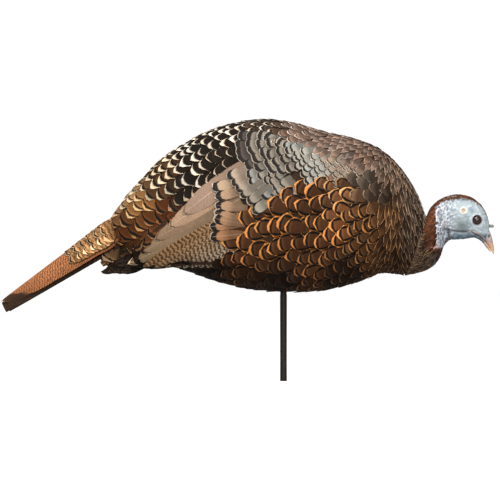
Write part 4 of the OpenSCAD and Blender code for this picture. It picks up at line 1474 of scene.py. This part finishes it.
class Graph:
    """Adds nodes to a tree and links them."""

    def __init__(self, tree: bpy.types.NodeTree) -> None:
        """Starts with an empty tree."""
        self.tree = tree
        tree.nodes.clear()

    def add(self, kind: str, **values: object) -> bpy.types.Node:
        """Adds a node and sets its properties."""
        made = self.tree.nodes.new(kind)
        for name, value in values.items():
            setattr(made, name, value)
        return made

    def feed(self, socket: bpy.types.NodeSocket, value: object) -> None:
        """Links a socket to an output, or gives it a constant."""
        if isinstance(value, bpy.types.NodeSocket):
            self.tree.links.new(value, socket)
        else:
            socket.default_value = value

    def math(self, operation: str, *values: object, clamp: bool = False) -> bpy.types.NodeSocket:
        """Adds a sum or another operation on numbers."""
        made = self.add("ShaderNodeMath", operation=operation, use_clamp=clamp)
        for socket, value in zip(made.inputs, values):
            self.feed(socket, value)
        return made.outputs[0]

    def plus(self, a: object, b: object, clamp: bool = False) -> bpy.types.NodeSocket:
        """Adds two numbers."""
        return self.math("ADD", a, b, clamp=clamp)

    def minus(self, a: object, b: object, clamp: bool = False) -> bpy.types.NodeSocket:
        """Takes b from a."""
        return self.math("SUBTRACT", a, b, clamp=clamp)

    def times(self, a: object, b: object, clamp: bool = False) -> bpy.types.NodeSocket:
        """Multiplies two numbers."""
        return self.math("MULTIPLY", a, b, clamp=clamp)

    def mix(self, share: object, a: object, b: object, blend: str = "MIX") -> bpy.types.NodeSocket:
        """Mixes two colours."""
        made = self.add("ShaderNodeMix", data_type="RGBA", blend_type=blend)
        for place, value in ((0, share), (6, a), (7, b)):
            self.feed(made.inputs[place], value)
        return made.outputs[2]

    def toned(self, colour: object, tone: object) -> bpy.types.NodeSocket:
        """Makes a colour lighter or darker by a factor."""
        return self.mix(1.0, colour, self.vector(tone, tone, tone), "MULTIPLY")

    def noise(self, vector: object, scale: float, detail: float = 2.0, rough_: float = 0.5) -> bpy.types.NodeSocket:
        """Adds a noise from 0 to 1."""
        made = self.add("ShaderNodeTexNoise")
        for name, value in (("Vector", vector), ("Scale", scale), ("Detail", detail), ("Roughness", rough_)):
            self.feed(made.inputs[name], value)
        return made.outputs[0]

    def spread(self, value: object, low: object, high: object) -> bpy.types.NodeSocket:
        """Maps low to 0 and high to 1, smoothly."""
        made = self.add("ShaderNodeMapRange", interpolation_type="SMOOTHSTEP")
        for place, entry in enumerate((value, low, high)):
            self.feed(made.inputs[place], entry)
        return made.outputs[0]

    def vector(self, x: object, y: object, z: object) -> bpy.types.NodeSocket:
        """Joins three numbers."""
        made = self.add("ShaderNodeCombineXYZ")
        for socket, value in zip(made.inputs, (x, y, z)):
            self.feed(socket, value)
        return made.outputs[0]

    def split(self, vector: object) -> list[bpy.types.NodeSocket]:
        """Parts a vector."""
        made = self.add("ShaderNodeSeparateXYZ")
        self.feed(made.inputs[0], vector)
        return list(made.outputs)

    def attribute(self, name: str) -> bpy.types.NodeSocket:
        """Reads a point attribute."""
        return self.add("ShaderNodeAttribute", attribute_name=name).outputs["Vector"]


def new_group(name: str, inputs: dict[str, str], outputs: dict[str, str]) -> tuple[bpy.types.NodeTree, Graph]:
    """Makes an empty node group.

    Args:
        name: The group's name.
        inputs: Each input's name and kind, which is Float, Color or Vector.
        outputs: Each output's name and kind.

    Returns:
        The group's tree and its graph.
    """
    tree = bpy.data.node_groups.new(name, "ShaderNodeTree")
    for way, sockets in (("INPUT", inputs), ("OUTPUT", outputs)):
        for socket, kind in sockets.items():
            tree.interface.new_socket(socket, in_out=way, socket_type=f"NodeSocket{kind}")
    return tree, Graph(tree)


def vane_group() -> bpy.types.NodeTree:
    """Makes the pattern of one feather: rim, band, bars, shaft and barbs, in millimetres of the feather, with painted
    shade on the part that the next feather covers.
    """
    names = (
        "Across", "Along", "Length", "Half", "Edge Size", "Band Size", "Bars", "Bar Pitch", "Mottle", "Shaft", "Wrap",
        "Shade", "Shown", "Seed",
    )
    tree, g = new_group(
        "VanePattern",
        {"Ground": "Color", "Band": "Color", "Edge": "Color", **{name: "Float" for name in names}},
        {"Color": "Color", "Height": "Float"},
    )
    i = g.add("NodeGroupInput").outputs
    side = g.times(g.math("ABSOLUTE", i["Across"]), i["Half"])
    across = g.times(i["Across"], i["Half"])
    along = g.times(i["Along"], i["Length"])
    to_tip = g.minus(i["Length"], along)
    to_side = g.minus(i["Half"], side)
    loose = g.times(to_tip, g.minus(1.0, i["Wrap"]))
    rim = g.math("MINIMUM", to_tip, g.plus(to_side, loose))
    place = g.vector(across, along, g.times(i["Seed"], 91.0))
    wobble = g.minus(g.noise(place, 0.45, 3.0, 0.6), 0.5)
    rim = g.plus(rim, g.times(wobble, 2.6))
    slant = g.minus(along, g.times(side, 0.9))
    barbs = g.noise(g.vector(g.times(slant, 1.5), g.times(side, 0.12), g.times(i["Seed"], 37.0)), 1.0, 2.0, 0.6)
    in_edge = g.minus(1.0, g.spread(rim, g.times(i["Edge Size"], 0.6), g.times(i["Edge Size"], 1.25)))
    inner = g.plus(i["Edge Size"], i["Band Size"])
    in_band = g.minus(1.0, g.spread(rim, g.times(inner, 0.85), g.times(inner, 1.15)))
    in_band = g.times(in_band, g.math("GREATER_THAN", i["Band Size"], 0.05))
    turn = g.math("DIVIDE", g.plus(g.minus(along, g.times(side, 0.8)), g.times(wobble, 9.0)), i["Bar Pitch"])
    wave = g.math("SINE", g.times(g.plus(turn, i["Seed"]), 2 * math.pi))
    bars = g.times(g.spread(g.plus(wave, g.times(wobble, 1.5)), -0.15, 0.45), i["Bars"])
    fleck = g.minus(g.noise(place, 1.3, 3.0, 0.7), 0.5)
    tone = g.plus(1.0, g.times(fleck, g.times(i["Mottle"], 3.0)))
    ground = g.toned(i["Ground"], tone)
    colour = g.mix(bars, ground, i["Band"])
    colour = g.mix(in_band, colour, i["Band"])
    colour = g.mix(in_edge, colour, i["Edge"])
    shaft_half = g.times(i["Shaft"], g.minus(1.15, i["Along"]))
    in_shaft = g.times(g.math("LESS_THAN", side, shaft_half), 0.7)
    colour = g.mix(in_shaft, colour, g.mix(0.5, i["Edge"], i["Ground"]))
    streak = g.plus(0.50, g.times(barbs, 0.95))
    # Painted shade: the feather is darkened past its bare part, where the next feather would cast its shadow.
    covered = g.spread(to_tip, g.times(i["Shown"], 0.5), g.times(i["Shown"], 1.15))
    painted_shade = g.times(i["Shade"], covered)
    streak = g.times(streak, g.minus(1.0, painted_shade))
    colour = g.toned(colour, streak)
    out = g.add("NodeGroupOutput")
    g.feed(out.inputs["Color"], colour)
    g.feed(out.inputs["Height"], g.plus(barbs, g.times(in_shaft, 0.8)))
    return tree


def wear_group() -> bpy.types.NodeTree:
    """Makes handling wear: scuffs and fine scratches that show another colour."""
    tree, g = new_group(
        "Wear",
        {"Base": "Color", "Worn": "Color", "Amount": "Float", "Scale": "Float", "Rough": "Float"},
        {"Color": "Color", "Roughness": "Float", "Height": "Float"},
    )
    i = g.add("NodeGroupInput").outputs
    place = g.add("ShaderNodeTexCoord").outputs["Object"]
    broad = g.noise(place, i["Scale"], 5.0, 0.65)
    fine = g.noise(place, g.times(i["Scale"], 9.0), 3.0, 0.6)
    x, y, z = g.split(place)
    streaks = g.noise(g.vector(g.times(x, 6.0), g.times(y, 6.0), g.times(z, 0.35)), g.times(i["Scale"], 4.0), 2.0)
    scuff = g.spread(g.plus(g.times(broad, 0.6), g.times(fine, 0.4)), 0.56, 0.68)
    scratch = g.spread(streaks, 0.66, 0.72)
    share = g.times(g.math("MAXIMUM", scuff, scratch), i["Amount"], clamp=True)
    tone = g.plus(0.8, g.times(fine, 0.4))
    base = g.toned(i["Base"], tone)
    out = g.add("NodeGroupOutput")
    g.feed(out.inputs["Color"], g.mix(share, base, i["Worn"]))
    rough_ = g.plus(i["Rough"], g.times(g.minus(broad, 0.5), 0.25), clamp=True)
    g.feed(out.inputs["Roughness"], g.minus(rough_, g.times(share, 0.12), clamp=True))
    g.feed(out.inputs["Height"], g.minus(g.times(fine, 0.5), share))
    return tree


@dataclass(frozen=True)
class Finish:
    """What every finish has: a name, the Principled shader's constants and the depth of its relief."""

    name: str
    roughness: float = 0.5
    metallic: float = 0.0
    specular: float = 0.5
    coat: float = 0.0
    relief: float = 0.3
    depth: float = 0.3 * MM

    def start(self) -> tuple[bpy.types.Material, Graph, bpy.types.Node]:
        """Makes a material with a Principled shader on its output."""
        material = bpy.data.materials.new(self.name)
        material.use_nodes = True
        g = Graph(material.node_tree)
        shader = g.add("ShaderNodeBsdfPrincipled")
        for socket, value in (
            ("Roughness", self.roughness),
            ("Metallic", self.metallic),
            ("Specular IOR Level", self.specular),
            ("Coat Weight", self.coat),
        ):
            shader.inputs[socket].default_value = value
        g.feed(g.add("ShaderNodeOutputMaterial").inputs["Surface"], shader.outputs[0])
        return material, g, shader

    def bump(self, g: Graph, shader: bpy.types.Node, height: bpy.types.NodeSocket) -> None:
        """Adds relief to the shader."""
        made = g.add("ShaderNodeBump")
        made.inputs["Strength"].default_value = self.relief
        made.inputs["Distance"].default_value = self.depth
        g.feed(made.inputs["Height"], height)
        g.feed(shader.inputs["Normal"], made.outputs[0])


@dataclass(frozen=True)
class PlumageFinish(Finish):
    """Painted feathers, marked by each feather's attributes."""

    def build(self, vane: bpy.types.NodeTree) -> bpy.types.Material:
        """Makes the material.

        Args:
            vane: The feather pattern's node group.
        """
        material, g, shader = self.start()
        pattern = g.add("ShaderNodeGroup", node_tree=vane)
        u, v, _ = g.split(g.add("ShaderNodeUVMap", uv_map="feather").outputs[0])
        edge_w, band_w, bars = g.split(g.attribute("widths"))
        pitch, mottle, shaft = g.split(g.attribute("grain"))
        length, half, seed = g.split(g.attribute("sizes"))
        wrap, shade, shown = g.split(g.attribute("wrap"))
        across = g.minus(g.times(u, 2.0), 1.0)
        for name, value in (
            ("Ground", g.attribute("ground")), ("Band", g.attribute("band")), ("Edge", g.attribute("edge")),
            ("Across", across), ("Along", v), ("Length", length), ("Half", half), ("Edge Size", edge_w),
            ("Band Size", band_w), ("Bars", bars), ("Bar Pitch", pitch), ("Mottle", mottle), ("Shaft", shaft),
            ("Wrap", wrap), ("Shade", shade), ("Shown", shown), ("Seed", seed),
        ):
            g.feed(pattern.inputs[name], value)
        g.feed(shader.inputs["Base Color"], pattern.outputs["Color"])
        self.bump(g, shader, pattern.outputs["Height"])
        return material


@dataclass(frozen=True)
class PaintedFinish(Finish):
    """Paint that was put on by point, with pores and specks."""

    speck: float = 500.0

    def build(self) -> bpy.types.Material:
        """Makes the material."""
        material, g, shader = self.start()
        place = g.add("ShaderNodeTexCoord").outputs["Object"]
        pores = g.noise(place, self.speck, 4.0, 0.6)
        broad = g.noise(place, self.speck / 5, 3.0, 0.6)
        tone = g.plus(0.55, g.plus(g.times(pores, 0.5), g.times(broad, 0.4)))
        colour = g.toned(g.attribute("paint"), tone)
        g.feed(shader.inputs["Base Color"], colour)
        g.feed(shader.inputs["Roughness"], g.plus(self.roughness - 0.12, g.times(broad, 0.24)))
        self.bump(g, shader, g.plus(pores, broad))
        return material


@dataclass(frozen=True)
class EyeFinish(Finish):
    """A glossy eye: dark pupil, brown iris and fine rays, round the eye's own middle."""

    centre: tuple[float, float] = (0.0, 0.0)

    def build(self) -> bpy.types.Material:
        """Makes the material."""
        material, g, shader = self.start()
        place = g.add("ShaderNodeTexCoord").outputs["Object"]
        x, _, z = g.split(place)
        dx, dz = g.minus(x, self.centre[0]), g.minus(z, self.centre[1])
        gap = g.math("SQRT", g.plus(g.times(dx, dx), g.times(dz, dz)))
        rays = g.noise(g.vector(g.times(g.math("ARCTAN2", dz, dx), 6.0), 0.0, 0.0), 2.0, 2.0)
        iris = g.mix(rays, (0.018, 0.005, 0.004, 1.0), (0.045, 0.012, 0.008, 1.0))
        colour = g.mix(g.spread(gap, 2.3 * MM, 2.9 * MM), (0.004, 0.003, 0.003, 1.0), iris)
        colour = g.mix(g.spread(gap, 5.4 * MM, 6.6 * MM), colour, (0.012, 0.007, 0.006, 1.0))
        g.feed(shader.inputs["Base Color"], colour)
        return material


@dataclass(frozen=True)
class HardFinish(Finish):
    """Metal, plastic or rubber that shows handling wear."""

    base: Colour = (0.1, 0.1, 0.1)
    worn: Colour = (0.3, 0.3, 0.3)
    amount: float = 0.5
    scale: float = 60.0

    def build(self, wear: bpy.types.NodeTree) -> bpy.types.Material:
        """Makes the material.

        Args:
            wear: The wear's node group.
        """
        material, g, shader = self.start()
        made = g.add("ShaderNodeGroup", node_tree=wear)
        for name, value in (
            ("Base", (*self.base, 1.0)), ("Worn", (*self.worn, 1.0)), ("Amount", self.amount),
            ("Scale", self.scale), ("Rough", self.roughness),
        ):
            made.inputs[name].default_value = value
        g.feed(shader.inputs["Base Color"], made.outputs["Color"])
        g.feed(shader.inputs["Roughness"], made.outputs["Roughness"])
        self.bump(g, shader, made.outputs["Height"])
        return material


HARD_FINISHES: dict[str, HardFinish] = {
    "stake_paint": HardFinish(
        "StakePaint", 0.5, specular=0.18, base=(0.013, 0.0095, 0.0062), worn=(0.09, 0.075, 0.06), amount=0.4, scale=45
    ),
    "plated_steel": HardFinish("PlatedSteel", 0.32, 1.0, base=(0.56, 0.55, 0.52), worn=(0.30, 0.28, 0.25), scale=90),
    "nylon": HardFinish("Nylon", 0.48, base=(0.62, 0.60, 0.54), worn=(0.44, 0.41, 0.36), scale=80),
    "black_plastic": HardFinish("BlackPlastic", 0.5, base=(0.018, 0.018, 0.019), worn=(0.08, 0.08, 0.08), scale=70),
    "seal_rubber": HardFinish("SealRubber", 0.8, base=(0.014, 0.013, 0.013), worn=(0.06, 0.055, 0.05), scale=120),
    "moulding": HardFinish(
        "BodyMoulding", 0.75, specular=0.1, base=(0.030, 0.016, 0.009), worn=(0.11, 0.052, 0.025), amount=0.6, scale=35
    ),
}

NODE_FINISHES: dict[str, list[str]] = {
    "stake_paint": ["stake_tube"],
    "plated_steel": [
        "stake_spindle", "spindle_washer", "spindle_screw", "ground_spike", "tail_screws", "neck_circlip",
        "turn_stop_screw",
    ],
    "nylon": ["spike_bush", "spike_guide", "swivel_sleeve", "sleeve_cap", "receiver_cap"],
    "black_plastic": ["receiver_tube", "tail_block", "wing_clips", "neck_socket", "neck_ring", "head_spigot"],
    "seal_rubber": ["ring_drag_seal", "spigot_o_ring"],
    "moulding": ["shell_right", "shell_left", "wing_right", "wing_left", "tail_fan", "undertail"],
}


# ---- The whole decoy ----------------------------------------------------------------------------


def joined_box(*names: str) -> tuple[Vector, Vector]:
    """Returns the box round several CAD nodes."""
    boxes = [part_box(name) for name in names]
    low = Vector([min(b[0][k] for b in boxes) for k in range(3)])
    high = Vector([max(b[1][k] for b in boxes) for k in range(3)])
    return low, high


BODY_RIBS: list[tuple[Spot, Spot]] = [
    ((-0.103, 0.294), (-0.057, 0.173)), ((0.0, 0.453), (0.014, 0.285)), ((0.097, 0.66), (0.119, 0.19)),
    ((0.29, 0.92), (0.308, 0.077)), ((0.575, 0.98), (0.58, 0.0)), ((0.833, 0.85), (0.8125, 0.077)),
    ((0.9375, 0.675), (0.883, 0.113)), ((1.0, 0.43), (0.9385, 0.0985)),
]

HEAD_RIBS: list[tuple[Spot, Spot]] = [
    ((0.189, 0.725), (-0.043, 0.015)), ((0.232, 0.71), (0.0, 0.0)), ((0.28, 0.83), (0.295, 0.094)),
    ((0.398, 0.9375), (0.44, 0.363)),
    ((0.558, 0.996), (0.588, 0.4375)), ((0.729, 0.984), (0.737, 0.453)), ((0.889, 0.879), (0.846, 0.4516)),
    ((0.984, 0.699), (0.91, 0.406)), ((1.0, 0.605), (0.93, 0.384)),
]

BEAKS: list[Beak] = [
    Beak(
        "beak_top",
        [(327.6, 244.5, 320.8, 224.5, 8.9), (331.2, 237.0, 324.8, 219.6, 8.1), (333.4, 230.0, 328.0, 215.6, 6.9),
         (335.6, 220.0, 331.4, 210.4, 5.0), (337.0, 211.0, 334.2, 205.6, 2.9), (336.9, 203.6, 336.0, 202.2, 0.5)],
        "beak_upper", (328.6, 231.5, 4.6),
    ),
    Beak(
        "beak_bottom",
        [(320.8, 223.6, 319.8, 220.4, 7.4), (324.8, 218.7, 323.2, 215.2, 6.5), (328.4, 214.2, 326.6, 211.2, 4.9),
         (331.4, 209.4, 330.4, 207.2, 2.2), (332.0, 207.8, 331.6, 206.8, 0.6)],
        "beak_lower",
    ),
]


@dataclass
class Decoy:
    """The whole bird: its plumage, its head and the finishes of its hardware."""

    seed: int = 20261120

    def build(self) -> None:
        """Builds every sub-assembly in order."""
        vane, wear = vane_group(), wear_group()
        feathers = PlumageFinish("Plumage", 0.75, specular=0.05, relief=0.6, depth=0.25 * MM).build(vane)
        glossy = PlumageFinish("WingPlumage", 0.6, specular=0.12, relief=0.5, depth=0.2 * MM).build(vane)
        skin = PaintedFinish("HeadSkin", 0.42, specular=0.4, coat=0.08, relief=0.5, depth=0.35 * MM).build()
        horn = PaintedFinish("BeakHorn", 0.33, specular=0.5, coat=0.25, relief=0.25, depth=0.15 * MM, speck=350).build()
        self.hardware(wear)
        plan = Plan(*joined_box("shell_right", "shell_left"))
        self.body(plan, feathers)
        self.wings(plan, glossy)
        self.tail(feathers)
        self.head(skin, horn, feathers)

    def hardware(self, wear: bpy.types.NodeTree) -> None:
        """Gives the shown CAD nodes their finishes."""
        for slot, names in NODE_FINISHES.items():
            material = HARD_FINISHES[slot].build(wear)
            self._finish(names, material)
            log.info("%s: %d parts", slot, len(names))

    def body(self, plan: Plan, material: bpy.types.Material) -> None:
        """Dresses the body in small feathers."""
        nodes = ["shell_right", "shell_left", "wing_right", "wing_left", "tail_fan", "undertail"]
        skin = Envelope(nodes, plan, BODY_RIBS)
        plumage = BodyPlumage(skin, plan, TractMap(plan, BODY_TRACTS))
        for side in Side:
            plumage.dress(side, self._chance(side, 1), material)

    def wings(self, plan: Plan, material: bpy.types.Material) -> None:
        """Dresses the folded wings."""
        sheet = self._side_sheet(["wing_right", "shell_right"], *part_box("wing_right"), 20 * MM)
        wing = WingPlumage(sheet, plan)
        for side in Side:
            wing.dress(side, self._chance(side, 2), material)

    def tail(self, material: bpy.types.Material) -> None:
        """Dresses the tail and the wedge under it."""
        pitch = math.radians(34)
        root = np.array([-262.0, 0.0, 243.0]) * MM
        along = np.array([math.cos(pitch), 0.0, math.sin(pitch)])
        up = np.array([-math.sin(pitch), 0.0, math.cos(pitch)])
        y = np.array([0.0, 1.0, 0.0])
        spans = (-0.235, 0.012, -0.045, 0.045)
        faces = [Sheet(["tail_fan"], root, along, y, out, spans, 3 * MM) for out in (up, -up)]
        TailPlumage(faces[0], faces[1], 0.222, 0.038).dress(self._chance(Side.RIGHT, 3), material)
        low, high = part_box("undertail")
        wedge = UndertailPlumage(self._side_sheet(["undertail"], low, high, 24 * MM), (low, high))
        for side in Side:
            wedge.dress(side, self._chance(side, 4), material)

    def head(self, skin: bpy.types.Material, horn: bpy.types.Material, feathers: bpy.types.Material) -> None:
        """Builds the head, its neck feathers, beak and snood, and gives the eyes their finish."""
        plan = Plan(*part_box("head_shell"))
        surface = Envelope(["head_shell", "eye_right", "eye_left"], plan, HEAD_RIBS, 210, 90, 1)
        low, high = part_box("eye_right")
        eye = ((low.x + high.x) / 2, (low.z + high.z) / 2)
        Head(surface, (eye[0] / MM, eye[1] / MM)).build(skin)
        for side in Side:
            NeckPlumage(surface).dress(side, self._chance(side, 5), feathers)
        for beak in BEAKS:
            beak.build(horn)
        Snood().build(skin)
        glass = EyeFinish("EyeAcrylic", 0.12, specular=0.4, coat=0.25, centre=eye).build()
        self._finish(["eye_right", "eye_left"], glass)

    def _finish(self, names: list[str], material: bpy.types.Material) -> None:
        """Gives CAD nodes a finish."""
        for name in names:
            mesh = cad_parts[name].data
            mesh.materials.clear()
            mesh.materials.append(material)

    def _side_sheet(self, nodes: list[str], low: Vector, high: Vector, room: float) -> Sheet:
        """Reads nodes square from the bird's right side.

        Args:
            nodes: The nodes' names.
            low: The low corner of their box.
            high: Its high corner.
            room: How far the sheet goes on past the box, in metres.

        Returns:
            The sheet.
        """
        x, y, z = np.eye(3)
        spans = (low.x - room, high.x + room, low.z - room, high.z + room)
        return Sheet(nodes, np.zeros(3), x, z, -y, spans)

    def _chance(self, side: Side, part: int) -> np.random.Generator:
        """Returns a source of chance for one side of one part."""
        return np.random.default_rng([self.seed, part, side.value + 1])


# ---- Studio -------------------------------------------------------------------------------------


@dataclass
class Studio:
    """A pale floor, a white sky, soft lights and the camera at the side of the bird."""

    distance: float = 4.0
    width: float = 0.8
    sensor: float = 36.0

    def build(self) -> None:
        """Sets up the whole studio."""
        scene = bpy.context.scene
        scene.view_settings.view_transform = "Standard"
        self.floor()
        self.sky(scene)
        self.light("key_light", (-0.7, -2.2, 2.6), 1.5, 84)
        self.light("fill_light", (0.3, -3.4, 0.75), 2.6, 98)
        self.light("top_light", (0.0, 0.2, 2.8), 2.4, 30)
        self.camera(scene)

    def floor(self) -> None:
        """Adds the plain floor."""
        reach = 9.0
        mesh = bpy.data.meshes.new("floor")
        corners = [(-reach, -reach, 0), (reach, -reach, 0), (reach, reach, 0), (-reach, reach, 0)]
        mesh.from_pydata(corners, [], [[0, 1, 2, 3]])
        floor = bpy.data.objects.new("floor", mesh)
        bpy.context.scene.collection.objects.link(floor)
        material, g, shader = Finish("Floor", 0.9, specular=0.1).start()
        shader.inputs["Base Color"].default_value = (0.93, 0.93, 0.93, 1.0)
        shader.inputs["Emission Color"].default_value = (1.0, 1.0, 1.0, 1.0)
        seen = g.add("ShaderNodeLightPath").outputs["Is Camera Ray"]
        g.feed(shader.inputs["Base Color"], g.mix(seen, (0.42, 0.41, 0.40, 1.0), (0.93, 0.93, 0.93, 1.0)))
        g.feed(shader.inputs["Emission Strength"], g.times(seen, 0.6))
        mesh.materials.append(material)

    def sky(self, scene: bpy.types.Scene) -> None:
        """Sets a plain white sky."""
        world = bpy.data.worlds.new("studio")
        world.use_nodes = True
        g = Graph(world.node_tree)
        back = g.add("ShaderNodeBackground")
        back.inputs["Color"].default_value = (1.0, 1.0, 1.0, 1.0)
        seen = g.add("ShaderNodeLightPath").outputs["Is Camera Ray"]
        g.feed(back.inputs["Strength"], g.plus(0.42, g.times(seen, 0.63)))
        g.feed(g.add("ShaderNodeOutputWorld").inputs["Surface"], back.outputs[0])
        scene.world = world

    def light(self, name: str, place: tuple[float, float, float], size: float, power: float) -> None:
        """Adds a soft light that looks at the bird."""
        lamp = bpy.data.lights.new(name, "AREA")
        lamp.size, lamp.energy = size, power
        made = bpy.data.objects.new(name, lamp)
        made.location = place
        made.rotation_euler = (Vector((0, 0, 0.25)) - Vector(place)).to_track_quat("-Z", "Y").to_euler()
        bpy.context.scene.collection.objects.link(made)

    def camera(self, scene: bpy.types.Scene) -> None:
        """Sets the camera level, square to the bird's right side."""
        lens = bpy.data.cameras.new("camera")
        lens.sensor_width = self.sensor
        lens.lens = self.sensor * self.distance / self.width
        lens.dof.use_dof = False
        made = bpy.data.objects.new("camera", lens)
        low, high = cad_box
        made.location = ((low[0] + high[0]) / 2 + 3.1 * MM, -self.distance, (low[2] + high[2]) / 2 + 0.6 * MM)
        made.rotation_euler = (math.pi / 2, 0.0, 0.0)
        scene.collection.objects.link(made)
        scene.camera = made


def main() -> None:
    """Builds the decoy and the studio."""
    logging.basicConfig(level=logging.INFO, format="%(name)s: %(message)s")
    Decoy().build()
    Studio().build()


if __name__ == "__main__":
    main()
